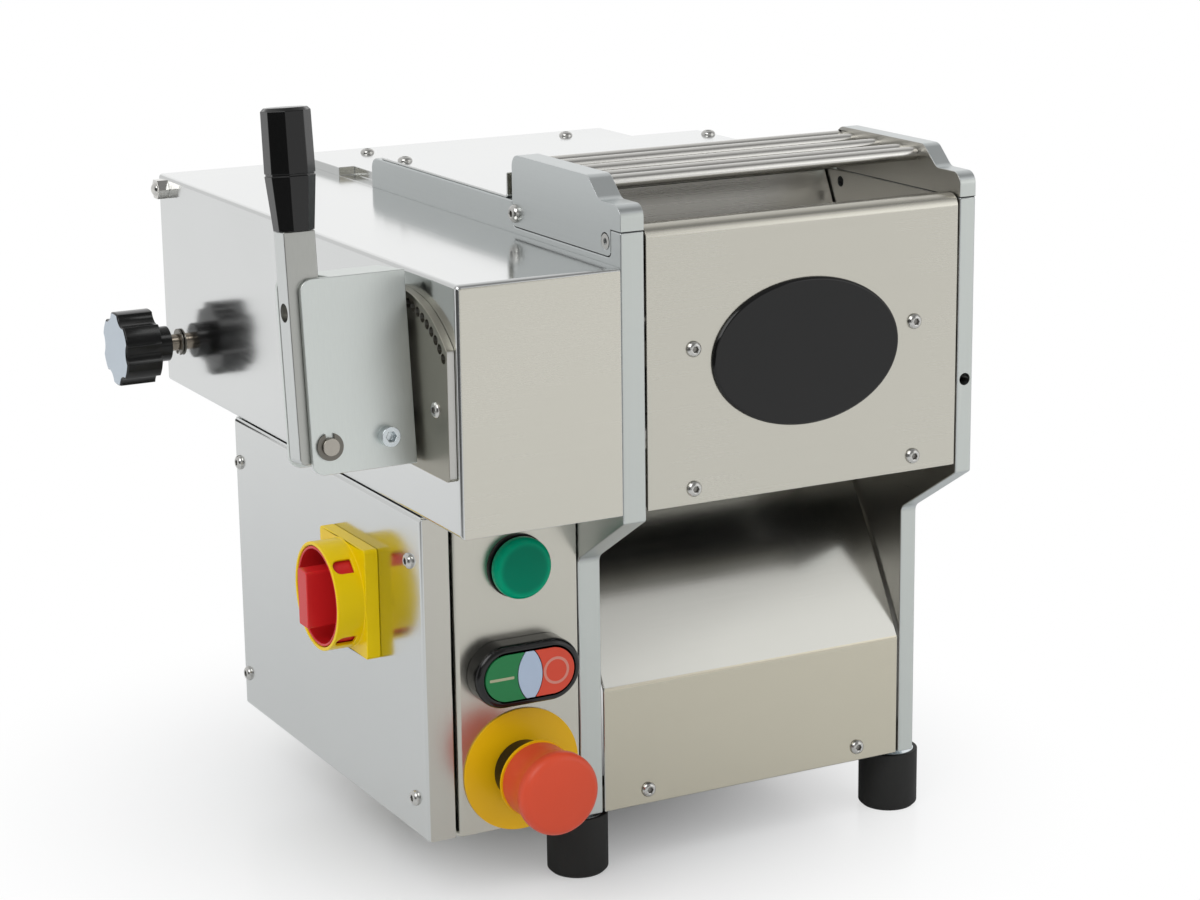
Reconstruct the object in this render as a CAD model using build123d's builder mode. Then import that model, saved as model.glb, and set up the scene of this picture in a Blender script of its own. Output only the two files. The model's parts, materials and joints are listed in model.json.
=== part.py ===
# Motorised pasta sheeter: two rollers between side plates, fed from a hopper above
# and emptying over a chute, with a geared drive on the left and a control box below it.
# Millimetres. X runs to the right, Y to the back, Z up from the table.

import os
from math import atan2, cos, degrees, pi, radians, sin, sqrt, tan

from build123d import *

os.makedirs("parts", exist_ok=True)

# Clearances
FIT = 0.05            # radial, between a part and the seat that holds or carries it
PLAY = 0.35           # between parts that slide or turn past each other
HOLE_PLAY = 0.2       # radial, between a screw and the hole that it passes
HOLE_PAST = 1.0       # blind holes run this much deeper than what they take
SHEET = 1.5           # folded stainless sheet

# Feet
FOOT_R = 15.0
FOOT_H = 30.5
FOOT_BEVEL = 2.0
FOOT_RIM = 2.0
FOOT_DISC_T = 1.5
FOOT_COLLAR_R = 8.0
FOOT_COLLAR_H = 2.5
FOOT_STUD_R = 4.0
FOOT_STUD_L = 14.0
FOOT_FRONT = 16.0     # from the plate's lower front edge back to the front feet
FOOT_REAR = 24.0      # from the plate's rear edge forward to the back feet

# Side plates
PLATE_GAP = 170.0
LEFT_PLATE_T = 12.0
RIGHT_PLATE_T = 9.0
PLATE_LOWER_H = 129.0
PLATE_SLOPE_H = 28.0
PLATE_UPPER_H = 134.0
PLATE_SETBACK = 46.0
PLATE_DEPTH = 274.0
PLATE_REAR_R = 6.0
PLATE_SLOPE_R = 5.0

# Guard over the hopper
CHEEK_REAR = 108.0
CHEEK_TONGUE_FRONT = 9.5
CHEEK_TONGUE_H = 12.5
CHEEK_TONGUE_T = 5.0
CHEEK_TONGUE_R = 3.0
CHEEK_HIGH = 22.0
CHEEK_LOW = 12.0
CHEEK_STEP_REAR = 31.0
CHEEK_STEP_FRONT = 20.0
CHEEK_R = 6.0
ROD_R = 3.25
ROD_INNER_PITCH = 21.5
ROD_OUTER_PITCH = 12.0
ROD_MIDDLE = 72.0
ROD_BELOW_TOP = 5.5
ROD_SEAT = 5.0
CHEEK_SCREW_R = 2.5
CHEEK_SCREW_L = 9.0
CHEEK_SCREW_REAR = 4.0
CHEEK_SCREW_FRONT = 5.0
CHEEK_SCREW_DOWN = 5.8
PAN_HEAD_R = 5.0
PAN_HEAD_H = 3.2
FLAT_HEAD_R = 4.0
FLAT_HEAD_H = 1.6

# Tie bars and the screws through the plates
BAR = 12.0
BAR_SCREW_R = 3.0
BAR_SCREW_L = 22.0
BAR_SCREW_HEAD_R = 5.6
BAR_SCREW_HEAD_H = 2.6
BAR_REAR_IN = 14.0    # from the plate's rear edge to the lower rear bar's centre line
BAR_OVER_GEARBOX = 14.5

# Front panel and badge
PANEL_SIDE_GAP = 0.8
PANEL_BOTTOM_UP = 4.5  # above the top of the plate's sloping edge
PANEL_ABOVE = 2.0      # top fold above the plates
PANEL_BEND = 6.0
PANEL_FLAT = 12.0
HOPPER_MOUTH_LOW = 276.0
HOPPER_FRONT_END = 66.0
PANEL_SCREW_X = 60.0
PANEL_SCREW_LOW = 7.5  # from the panel's bottom edge up to the lower screws
PANEL_SCREW_PITCH = 65.5
BADGE_L = 101.0
BADGE_H = 69.5
BADGE_T = 2.0
BADGE_DROP = 7.5       # badge centre below the upper screws
SCREW_R = 2.5
SCREW_L = 9.0
SCREW_HEAD_R = 4.3
SCREW_HEAD_H = 2.4

# Hopper back wall
HOPPER_BACK_TOP = 118.0
HOPPER_BACK_LEAN = 27.0
HOPPER_FLANGE = 16.0

# Outlet chute
CHUTE_SIDE_GAP = 1.0
CHUTE_FACE_H = 62.0
CHUTE_SLOPE = 59.0
CHUTE_SLOPE_L = 100.0
CHUTE_BEND = 5.0
CHUTE_SCREW_UP = 7.5

# Top cover, rear cover and back panel
COVER_T = 1.2
COVER_FRONT = 114.5
COVER_LIP = 11.0
COVER_REAR = 262.0
COVER_INSET = 0.8
COVER_SCREW_IN = 18.0
REAR_DEPTH = 378.0
REAR_NECK_SHARE = 0.42  # of the rear cover's length behind the plates
REAR_TOP_DROP = 11.0
REAR_LEDGE_DROP = 4.5
REAR_H = 138.0
REAR_NECK_OVER = 3.0
REAR_TONGUE_PLAY = 0.5
REAR_SCREW_X = 62.0
REAR_SCREW_IN = 18.5
BACK_PANEL_GAP = 0.5

# Rollers and the eccentric shaft that sets their gap
ROLL_R = 30.0
ROLL_GAP = 0.6
ROLL_END_PLAY = 1.0
ECC_Y = 50.0
ECC_Z = 236.0
ECC_THROW = 4.0
ECC_MID_R = 11.0
ECC_SHAFT_R = 8.0
ECC_BUSH_T = 4.0
ROLL_SHAFT_R = 10.0
ROLL_BUSH_T = 4.0
FRONT_BUSH_R = 15.0
FRONT_BUSH_L = 20.0
SHAFT_SHORT = 0.5      # shaft ends lie this far inside the right plate's face
OIL_HOLE_R = 3.0

# Roller gears and the drive train: tooth sizes in modules, flank slope in degrees
GEAR_TIP = 1.0
GEAR_ROOT = 1.25
GEAR_BURIED = 0.2
GEAR_FLANK = 72.0
TOOTH_SHARE = 0.64     # of the pitch, at the tooth's foot
ROLL_GEAR_TEETH = 20
ROLL_GEAR_MODULE = 3.0
ROLL_GEAR_W = 12.0
DRIVE_MODULE = 2.5
DRIVE_TEETH = 30
IDLER_TEETH = 30
PINION_TEETH = 16
DRIVE_W = 12.0
DRIVE_OUT = 4.0        # gear face from the left plate
DRIVE_SPREAD = 0.3     # added to each centre distance
SHAFT_PAST_GEAR = 4.0
IDLER_STUD_R = 6.0
IDLER_BUSH_HEAD = 9.0
MOTOR_SHAFT_R = 7.0
MOTOR_SHAFT_HOLE_PLAY = 3.0
GEARBOX_W = 60.0
GEARBOX_H = 72.0
GEARBOX_L = 58.0
GEARBOX_EDGE = 6.0
MOTOR_R = 42.0
MOTOR_REAR_GAP = 13.3  # between the motor's end and the rear cover
MOTOR_RIBS = 16
MOTOR_RIB_H = 3.0
MOTOR_RIB_W = 2.4

# Gear housing
HOUSING_W = 81.0
HOUSING_BOTTOM = 194.0
HOUSING_H = 114.5
HOUSING_BEND = 2.5
CAP_NUT_IN = 12.0
CAP_NUT_DOWN = 6.5
CAP_NUT_FLATS = 10.0
CAP_NUT_HEX_H = 6.0
CAP_NUT_DOME_R = 4.4
CAP_STUD_R = 3.0
CAP_STUD_L = 12.0

# Hand knob of the adjuster on the gear housing
KNOB_BACK = 23.0       # from the housing's rear edge
KNOB_UP = 25.5         # above the housing's bottom
KNOB_R = 20.0
KNOB_LOBES = 6
KNOB_SCALLOP_R = 7.5
KNOB_SCALLOP_AT = 24.6
KNOB_T = 20.0
KNOB_EDGE = 0.8
KNOB_HUB_R = 9.5
KNOB_HUB_L = 9.5
ADJUSTER_R = 4.5
ADJUSTER_OUT = 7.4
ADJUSTER_IN = 34.0
ADJUSTER_GROOVE = 0.7
RING_R = 7.2
RING_T = 1.0
RING_GAP = 4.0
ADJUSTER_BOSS_R = 9.0
ADJUSTER_BOSS_L = 10.0

# Index sector and thickness lever
SECTOR_T = 4.0
SECTOR_R = 64.0
INDEX_R = 59.0
INDEX_HOLE_R = 2.3
INDEX_STEP = 5.0
INDEX_HOLES = 10
SECTOR_BOTTOM = 26.0   # above the gear housing's bottom
SECTOR_IN = 2.8        # front edge behind the housing's front
SECTOR_REAR_ANGLE = 75.0
SECTOR_CORNER = 3.0
SECTOR_SCREW_FRONT = 15.0
SECTOR_SCREW_UP = 15.0
SECTOR_SCREW_REAR = 8.0
SECTOR_SCREW_HIGH = 44.0
SECTOR_SCREW_L = 7.0
SECTOR_HEAD_H = 1.8
LEVER_LEAN = 5.5
BRACKET_GAP = 2.3
BRACKET_W = 50.0
BRACKET_T = 2.5
BRACKET_D = 30.0
BRACKET_FRONT = 17.5   # front face ahead of the lever shaft's axis
BRACKET_BELOW = 14.0
BRACKET_ABOVE = 73.0
BRACKET_CORNER = 6.0
BRACKET_TOP_GAP = 5.0  # between the lever bar and the bracket's closed top
HUB_W = 20.0
HUB_H = 22.0
PIVOT_IN = 8.5         # pivot pin from the bracket's open edge
PIVOT_DROP = 1.5
PIVOT_R = 4.0
PIVOT_PAST = 2.6
CLIP_R = 6.2
CLIP_T = 1.0
CLIP_SLOT = 4.0
LEVER_BAR_T = 12.0
LEVER_BAR_W = 15.0
LEVER_BAR_FOOT_W = 25.0
LEVER_BAR_OUT = 4.7    # outer face past the bracket's open edge
LEVER_BAR_BELOW = 9.0
LEVER_BAR_WAIST = 66.0
LEVER_BAR_TOP = 94.0
LEVER_BAR_CORNER = 3.0
INDEX_PIN_R = 3.0
INDEX_NOSE_R = 2.0
INDEX_NOSE_L = 6.0
INDEX_PIN_SUNK = 3.0
INDEX_SHORT = 0.3
RELEASE = 6.0          # swing of the lever bar that draws the index pin back
HANDLE_LOW = 18.5
HANDLE_WIDE = 23.0
HANDLE_HIGH = 22.6
HANDLE_LOW_L = 24.0
HANDLE_HIGH_L = 29.5
HANDLE_GROOVE = 1.0
HANDLE_EDGE = 1.5
HANDLE_STUD_R = 4.0
HANDLE_STUD_L = 12.0
CAP_SCREW_HEAD_R = 4.6
CAP_SCREW_HEAD_H = 5.0
CAP_SCREW_R = 2.5
CAP_SCREW_IN = 13.8    # from the bracket's closed side
SPRING_WIRE_R = 0.8
SPRING_TURNS = 3
SPRING_PITCH = 2.6
SPRING_R = 6.6
SPRING_STEPS = 24      # measured points in each turn

# Control box under the gear housing
BOX_BOTTOM = 35.5
BOX_TOP_GAP = 1.2
BOX_DEPTH = 232.0
BOX_LIP = 22.0
BOX_BEND = 3.0
BOX_PLATE_GAP = 0.5
LID_T = 14.2
LID_STAND = 1.8        # between the side cover's edge and the box
LID_FRONT_GAP = 1.0
LID_BOTTOM = 36.0
LID_TOP_GAP = 1.2
LID_BEND = 2.0
LID_SCREW_FRONT = 13.5
LID_SCREW_REAR = 6.5
LID_SCREW_LOW = 18.4
LID_SCREW_HIGH = 22.5  # from the side cover's top edge
PILLAR_R = 4.5

# Devices on the control panel, stacked on one centre line
DEVICE_OFF = 1.05      # centre line to the right of the box's middle
DEVICE_PITCH = 50.0
ESTOP_UP = 28.5        # emergency stop above the box's bottom edge
DEVICE_NECK_R = 11.0
DEVICE_NECK_L = 14.0
BLOCK_W = 30.0
BLOCK_H = 44.0
BLOCK_L = 38.0
PILOT_BEZEL_R = 15.3
PILOT_BEZEL_T = 1.2
PILOT_LENS_R = 14.8
PILOT_LENS_H = 6.9
PILOT_DOME = 0.9
PILOT_EDGE = 3.2
BUTTON_BEZEL_L = 54.5
BUTTON_BEZEL_H = 30.4
BUTTON_BEZEL_T = 11.5
BUTTON_BEZEL_EDGE = 3.0
BUTTON_L = 46.0
BUTTON_H = 22.6
BUTTON_T = 5.0
BUTTON_PROUD = 0.6
BUTTON_TRAVEL = 3.0
LENS_W = 12.6
LENS_END_W = 4.4
LEGEND_R = 30.0
LEGEND_T = 1.0
COLLAR_R = 14.6
NECK_R = 18.0
HEAD_R = 20.0
HEAD_STAND = 15.5      # back of the head ahead of the panel
HEAD_L = 28.5
HEAD_NECK_L = 8.0
HEAD_FLARE_L = 13.0
HEAD_DOME = 2.0
HEAD_EDGE = 4.0
ESTOP_TRAVEL = 4.0
STEM_R = 5.0
STEM_L = 16.0

# Main switch on the side cover
SWITCH_FRONT = 76.0    # from the side cover's front edge to the switch axis
SWITCH_UP = 104.0      # from the side cover's bottom edge
SWITCH_SIDE = 54.0
SWITCH_PLATE_T = 7.0
SWITCH_FLOOR_T = 2.0
SHROUD_R = 26.5
SHROUD_WALL = 1.8
SHROUD_H = 14.0
WINDOW_TURNS = (45, 135)  # degrees, each cutting two opposite windows
WINDOW_OUT = 2.6       # from the switch plate's face
WINDOW_W = 7.6
WINDOW_L = 9.8
CUP_WALL = 1.4
CUP_FLOOR = 2.0
GRIP_W = 11.0
GRIP_L = 28.0
GRIP_PAST = 7.0
SWITCH_STEM_R = 4.0
SWITCH_BODY_W = 44.0
SWITCH_BODY_L = 46.0

# Heights that follow from the sizes above
PLATE_BOTTOM = FOOT_H + FOOT_COLLAR_H
SLOPE_LOW = PLATE_BOTTOM + PLATE_LOWER_H
SLOPE_HIGH = SLOPE_LOW + PLATE_SLOPE_H
PLATE_TOP = SLOPE_HIGH + PLATE_UPPER_H
HOUSING_TOP = HOUSING_BOTTOM + HOUSING_H
BOX_TOP = HOUSING_BOTTOM - BOX_TOP_GAP
LID_TOP = HOUSING_BOTTOM - LID_TOP_GAP
PANEL_BOTTOM = SLOPE_HIGH + PANEL_BOTTOM_UP
PANEL_TOP = PLATE_TOP + PANEL_ABOVE
REAR_TOP = PLATE_TOP - REAR_TOP_DROP

# Origin: middle of the floor under the whole machine, from the lever's handle to the right feet
LEVER_REACH = (PLATE_GAP / 2 + LEFT_PLATE_T + HOUSING_W + SECTOR_T + BRACKET_GAP + BRACKET_W
               + LEVER_BAR_OUT - LEVER_BAR_W / 2 + HANDLE_WIDE / 2)
RIGHT_REACH = PLATE_GAP / 2 + RIGHT_PLATE_T / 2 + FOOT_R
X_MID = (LEVER_REACH - RIGHT_REACH) / 2
Y_FRONT = (SCREW_HEAD_H - REAR_DEPTH) / 2

# Planes across the machine, from left to right
LEFT_IN = X_MID - PLATE_GAP / 2
LEFT_OUT = LEFT_IN - LEFT_PLATE_T
RIGHT_IN = X_MID + PLATE_GAP / 2
RIGHT_OUT = RIGHT_IN + RIGHT_PLATE_T
HOUSING_LEFT = LEFT_OUT - HOUSING_W
SECTOR_OUT = HOUSING_LEFT - SECTOR_T
BRACKET_RIGHT = SECTOR_OUT - BRACKET_GAP
BRACKET_LEFT = BRACKET_RIGHT - BRACKET_W
LEFT_MIDDLE = LEFT_OUT + LEFT_PLATE_T / 2
RIGHT_MIDDLE = RIGHT_IN + RIGHT_PLATE_T / 2

# Planes from front to back
Y_LOW = Y_FRONT + PLATE_SETBACK
Y_PLATE_REAR = Y_FRONT + PLATE_DEPTH
Y_REAR = Y_FRONT + REAR_DEPTH
FOOT_YS = (Y_LOW + FOOT_FRONT, Y_PLATE_REAR - FOOT_REAR)

# Roller places: the eccentric stands mid-way through its swing at half the lever's travel
LEVER_TRAVEL = INDEX_STEP * (INDEX_HOLES - 1)
HALF_SWING = radians(LEVER_TRAVEL / 2)
ROLL_SHIFT = 2 * ECC_THROW * sin(HALF_SWING)
ROLL_Z = ECC_Z + ECC_THROW * (1 + cos(HALF_SWING)) / 2
ECC_AT = (Y_FRONT + ECC_Y, ECC_Z)
FRONT_ROLL = (ECC_AT[0] + ROLL_SHIFT / 2, ROLL_Z)
REAR_ROLL = (FRONT_ROLL[0] + 2 * ROLL_R + ROLL_GAP, ROLL_Z)
GEAR_LEFT = LEFT_IN + ROLL_END_PLAY
ROLL_LEFT = GEAR_LEFT + ROLL_GEAR_W
ROLL_RIGHT = RIGHT_IN - ROLL_END_PLAY
ROLL_L = ROLL_RIGHT - ROLL_LEFT
SHAFT_RIGHT = RIGHT_OUT - SHAFT_SHORT
ECC_BUSH_R = ECC_SHAFT_R + FIT + ECC_BUSH_T
ROLL_BUSH_R = ROLL_SHAFT_R + FIT + ROLL_BUSH_T

# Drive train places, in line behind the rear roller
IDLER_AT = (REAR_ROLL[0] + DRIVE_MODULE * (DRIVE_TEETH + IDLER_TEETH) / 2 + DRIVE_SPREAD, ROLL_Z)
PINION_AT = (IDLER_AT[0] + DRIVE_MODULE * (IDLER_TEETH + PINION_TEETH) / 2 + DRIVE_SPREAD, ROLL_Z)
DRIVE_RIGHT = LEFT_OUT - DRIVE_OUT
DRIVE_LEFT = DRIVE_RIGHT - DRIVE_W
DRIVE_END = DRIVE_LEFT - SHAFT_PAST_GEAR

# Tie bar centres (Y, Z): two behind the panel, one behind the chute, one low at the back
# and one over the gearbox, where the gear housing hides its screws
PANEL_SCREW_ZS = (PANEL_BOTTOM + PANEL_SCREW_LOW,
                  PANEL_BOTTOM + PANEL_SCREW_LOW + PANEL_SCREW_PITCH)
PANEL_BAR_Y = Y_FRONT + SHEET + BAR / 2
CHUTE_BAR_Y = Y_LOW + SHEET + BAR / 2
CHUTE_SCREW_Z = PLATE_BOTTOM + CHUTE_SCREW_UP
REAR_BAR_Y = Y_PLATE_REAR - BAR_REAR_IN
COVER_BAR_Y = Y_FRONT + COVER_REAR - SHEET - PLAY - BAR / 2
BAR_CENTRES = (
    (PANEL_BAR_Y, PANEL_SCREW_ZS[0]),
    (PANEL_BAR_Y, PANEL_SCREW_ZS[1]),
    (CHUTE_BAR_Y, CHUTE_SCREW_Z),
    (REAR_BAR_Y, CHUTE_SCREW_Z),
    (COVER_BAR_Y, ROLL_Z + GEARBOX_H / 2 + BAR_OVER_GEARBOX + BAR / 2),
)

# Guard and top cover places (Y, Z): cheek screws, rods and the cover's screws
CHEEK_SCREW_Z = PLATE_TOP - CHEEK_SCREW_DOWN
CHEEK_SCREWS = (
    (Y_FRONT + CHEEK_REAR - CHEEK_SCREW_REAR, CHEEK_SCREW_Z),
    (Y_FRONT + CHEEK_TONGUE_FRONT + CHEEK_SCREW_FRONT, CHEEK_SCREW_Z),
)
COVER_SCREW_Y = Y_FRONT + COVER_REAR - COVER_SCREW_IN
ROD_Z = PLATE_TOP + CHEEK_HIGH - ROD_BELOW_TOP
ROD_OFFSETS = (
    -ROD_INNER_PITCH - ROD_OUTER_PITCH,
    -ROD_INNER_PITCH,
    0,
    ROD_INNER_PITCH,
    ROD_INNER_PITCH + ROD_OUTER_PITCH,
)
ROD_PLACES = [(Y_FRONT + ROD_MIDDLE + step, ROD_Z) for step in ROD_OFFSETS]

# Lever frame: local x across the machine, local y up the lever, normal towards the front
LEAN = radians(LEVER_LEAN)
LEVER = Plane(origin=(0, *ECC_AT), x_dir=(1, 0, 0), z_dir=(0, -cos(LEAN), sin(LEAN)))
BRACKET_REAR = BRACKET_FRONT - BRACKET_D
FLANGE_IN = BRACKET_FRONT - BRACKET_T
LEVER_BAR_FRONT = FLANGE_IN - PLAY
LEVER_BAR_BACK = LEVER_BAR_FRONT - LEVER_BAR_T
LEVER_BAR_MID = (LEVER_BAR_FRONT + LEVER_BAR_BACK) / 2
LEVER_BAR_LEFT = BRACKET_LEFT - LEVER_BAR_OUT
HANDLE_X = LEVER_BAR_LEFT + LEVER_BAR_W / 2
PIVOT_X = BRACKET_LEFT + PIVOT_IN
INDEX_UP = sqrt(INDEX_R ** 2 - LEVER_BAR_MID ** 2)
INDEX_FIRST = 90 - LEVER_LEAN + degrees(atan2(LEVER_BAR_MID, INDEX_UP))
PIN_END = SECTOR_OUT - INDEX_SHORT
PIN_LIFT = (PIN_END - PIVOT_X) * sin(radians(RELEASE))
HUB_RIGHT = BRACKET_RIGHT - BRACKET_T
LEVER_SHAFT_END = HUB_RIGHT - HUB_W
CAP_SCREW_X = BRACKET_RIGHT - CAP_SCREW_IN

# Adjuster, cap nut and sector screw places on the gear housing (Y, Z)
KNOB_AT = (Y_REAR - KNOB_BACK, HOUSING_BOTTOM + KNOB_UP)
CAP_NUT_AT = (Y_REAR - CAP_NUT_IN, HOUSING_TOP - CAP_NUT_DOWN)
SECTOR_SCREWS = (
    (Y_FRONT + SECTOR_SCREW_FRONT, ECC_Z + SECTOR_SCREW_UP),
    (ECC_AT[0] + SECTOR_SCREW_REAR, ECC_Z + SECTOR_SCREW_HIGH),
)

# Control box places
BOX_RIGHT = LEFT_OUT - BOX_PLATE_GAP
BOX_LEFT = HOUSING_LEFT + LID_T + LID_STAND
BOX_W = BOX_RIGHT - BOX_LEFT
DEVICE_X = BOX_LEFT + BOX_W / 2 + DEVICE_OFF
ESTOP_Z = BOX_BOTTOM + ESTOP_UP
BUTTON_Z = ESTOP_Z + DEVICE_PITCH
PILOT_Z = BUTTON_Z + DEVICE_PITCH
LID_LEFT = HOUSING_LEFT
LID_FRONT = Y_LOW - LID_FRONT_GAP
LID_L = BOX_DEPTH + LID_FRONT_GAP
LID_YS = (LID_FRONT + LID_SCREW_FRONT, LID_FRONT + LID_L - LID_SCREW_REAR)
LID_ZS = (LID_BOTTOM + LID_SCREW_LOW, LID_TOP - LID_SCREW_HIGH)
LID_SCREWS = [(y, z) for y in LID_YS for z in LID_ZS]
SWITCH_AT = (LID_FRONT + SWITCH_FRONT, LID_BOTTOM + SWITCH_UP)
SWITCH_FACE = LID_LEFT - SWITCH_PLATE_T
SHROUD_FACE = SWITCH_FACE - SHROUD_H


def side(x):
    """Plane across the machine at x, with local x to the back and local y up."""
    return Plane.YZ.offset(x)


def front(y):
    """Plane facing the front at y, with local x to the right and local y up."""
    return Plane.XZ.offset(-y)


def leftward(x, at):
    """Plane at x whose normal points left, centred on at, which is (Y, Z)."""
    return Plane(origin=(x, *at), x_dir=(0, -1, 0), z_dir=(-1, 0, 0))


def facing(x, y, z):
    """Plane at a point whose normal points to the front."""
    return Plane(origin=(x, y, z), x_dir=(1, 0, 0), z_dir=(0, -1, 0))


def mid_rise(radius, rise):
    """Height of a shallow dome half-way out from its crown, over its rim."""
    sphere = (radius ** 2 + rise ** 2) / (2 * rise)
    return rise - sphere + sqrt(sphere ** 2 - radius ** 2 / 4)


def screws(places, head_r, head_h, shank_r, shank_l):
    """Headed screws, one on each plane, with the head on the plane's normal side."""
    with BuildPart() as group:
        with Locations(*places):
            Cylinder(head_r, head_h, align=(Align.CENTER, Align.CENTER, Align.MIN))
            Cylinder(shank_r, shank_l, align=(Align.CENTER, Align.CENTER, Align.MAX))
    return group


def flush_screws(places, head_r, head_h, shank_r, shank_l):
    """Countersunk screws whose flat heads lie in the given planes."""
    with BuildPart() as group:
        with Locations(*places):
            Cone(shank_r, head_r, head_h, align=(Align.CENTER, Align.CENTER, Align.MAX))
            Cylinder(shank_r, shank_l, align=(Align.CENTER, Align.CENTER, Align.MAX))
    return group


def gear(plane, at, teeth, module, width, bore, phase):
    """Spur gear with slim straight-flanked teeth, the first tooth turned by phase degrees."""
    pitch_r = teeth * module / 2
    middle_r = pitch_r + (GEAR_TIP - GEAR_ROOT) * module / 2
    foot_w = TOOTH_SHARE * pi * module
    tooth_h = (GEAR_TIP + GEAR_ROOT + GEAR_BURIED) * module
    with BuildPart() as wheel:
        with BuildSketch(plane):
            with Locations(at):
                Circle(pitch_r - GEAR_ROOT * module)
                with PolarLocations(middle_r, teeth, start_angle=phase):
                    Trapezoid(foot_w, tooth_h, GEAR_FLANK, rotation=-90)
                Circle(bore, mode=Mode.SUBTRACT)
        extrude(amount=width)
    return wheel


# Feet: rubber buffers with a steel disc and stud let into the top
FOOT_PLACES = [(x, y) for x in (LEFT_MIDDLE, RIGHT_MIDDLE) for y in FOOT_YS]
with BuildPart() as feet:
    with BuildSketch():
        with Locations(*FOOT_PLACES):
            Circle(FOOT_R)
    extrude(amount=FOOT_H)
    chamfer(feet.edges().group_by(Axis.Z)[0], FOOT_BEVEL)
    with BuildSketch(Plane.XY.offset(FOOT_H)):
        with Locations(*FOOT_PLACES):
            Circle(FOOT_R - FOOT_RIM)
    extrude(amount=-FOOT_DISC_T, mode=Mode.SUBTRACT)
feet.part.label = "feet"
export_step(feet.part, "parts/feet.step")

with BuildPart() as foot_studs:
    with BuildSketch(Plane.XY.offset(FOOT_H - FOOT_DISC_T)):
        with Locations(*FOOT_PLACES):
            Circle(FOOT_R - FOOT_RIM - FIT)
    extrude(amount=FOOT_DISC_T)
    with BuildSketch(Plane.XY.offset(FOOT_H)):
        with Locations(*FOOT_PLACES):
            RegularPolygon(FOOT_COLLAR_R, 6)
    extrude(amount=FOOT_COLLAR_H)
    with BuildSketch(Plane.XY.offset(PLATE_BOTTOM)):
        with Locations(*FOOT_PLACES):
            Circle(FOOT_STUD_R)
    extrude(amount=FOOT_STUD_L)
foot_studs.part.label = "foot_studs"
export_step(foot_studs.part, "parts/foot_studs.step")


# Side plates
def side_plate(inner, outer, bores):
    """One side plate between its inner and outer faces, with its bores (Y, Z, radius)."""
    thick = abs(outer - inner)
    tongue_from = outer if outer > inner else outer + CHEEK_TONGUE_T
    outwards = 1 if outer > inner else -1
    with BuildPart() as plate:
        with BuildSketch(side(min(inner, outer))) as outline:
            with BuildLine():
                Polyline(
                    (Y_LOW, PLATE_BOTTOM),
                    (Y_PLATE_REAR, PLATE_BOTTOM),
                    (Y_PLATE_REAR, PLATE_TOP),
                    (Y_FRONT, PLATE_TOP),
                    (Y_FRONT, SLOPE_HIGH),
                    (Y_LOW, SLOPE_LOW),
                    close=True,
                )
            make_face()
            corners = outline.vertices()
            fillet(corners.sort_by_distance((Y_PLATE_REAR, PLATE_TOP))[0], PLATE_REAR_R)
            fillet(outline.vertices().sort_by_distance((Y_LOW, SLOPE_LOW))[0], PLATE_SLOPE_R)
        extrude(amount=thick)
        # rebate for the guard cheek's tongue
        with BuildSketch(side(tongue_from)) as rebate:
            with Locations((Y_FRONT + CHEEK_TONGUE_FRONT, PLATE_TOP)):
                Rectangle(
                    CHEEK_REAR - CHEEK_TONGUE_FRONT,
                    CHEEK_TONGUE_H,
                    align=(Align.MIN, Align.MAX),
                )
            fillet(rebate.vertices().group_by(Axis.Y)[0], CHEEK_TONGUE_R)
        extrude(amount=-CHEEK_TONGUE_T, mode=Mode.SUBTRACT)
        with BuildSketch(side(min(inner, outer))):
            for y, z, radius in bores:
                with Locations((y, z)):
                    Circle(radius)
        extrude(amount=thick, mode=Mode.SUBTRACT)
        # countersunk holes for the tie bar screws
        with Locations(*[Plane(origin=(outer, *at), z_dir=(outwards, 0, 0)) for at in BAR_CENTRES]):
            Cone(
                BAR_SCREW_R + HOLE_PLAY,
                BAR_SCREW_HEAD_R + HOLE_PLAY,
                BAR_SCREW_HEAD_H,
                align=(Align.CENTER, Align.CENTER, Align.MAX),
                mode=Mode.SUBTRACT,
            )
            Cylinder(
                BAR_SCREW_R + HOLE_PLAY,
                thick,
                align=(Align.CENTER, Align.CENTER, Align.MAX),
                mode=Mode.SUBTRACT,
            )
        # holes for the cheek's screws and the feet's studs
        with BuildSketch(side(min(inner, outer))):
            with Locations(*CHEEK_SCREWS):
                Circle(CHEEK_SCREW_R + HOLE_PLAY)
        extrude(amount=thick, mode=Mode.SUBTRACT)
        with BuildSketch(Plane.XY.offset(PLATE_BOTTOM)):
            with Locations(*[((inner + outer) / 2, y) for y in FOOT_YS]):
                Circle(FOOT_STUD_R + FIT)
        extrude(amount=FOOT_STUD_L + HOLE_PAST, mode=Mode.SUBTRACT)
        # tapped holes for the top cover's screws
        with BuildSketch(Plane.XY.offset(PLATE_TOP)):
            with Locations(((inner + outer) / 2, COVER_SCREW_Y)):
                Circle(SCREW_R + FIT)
        extrude(amount=-SCREW_L, mode=Mode.SUBTRACT)
    return plate


ROLLER_BORES = [(*ECC_AT, ECC_BUSH_R + FIT), (*REAR_ROLL, ROLL_BUSH_R + FIT)]
DRIVE_BORES = [
    (*IDLER_AT, IDLER_STUD_R + FIT),
    (*PINION_AT, MOTOR_SHAFT_R + MOTOR_SHAFT_HOLE_PLAY),
]

left_side_plate = side_plate(LEFT_IN, LEFT_OUT, ROLLER_BORES + DRIVE_BORES)
left_side_plate.part.label = "left_side_plate"
export_step(left_side_plate.part, "parts/left_side_plate.step")

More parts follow.
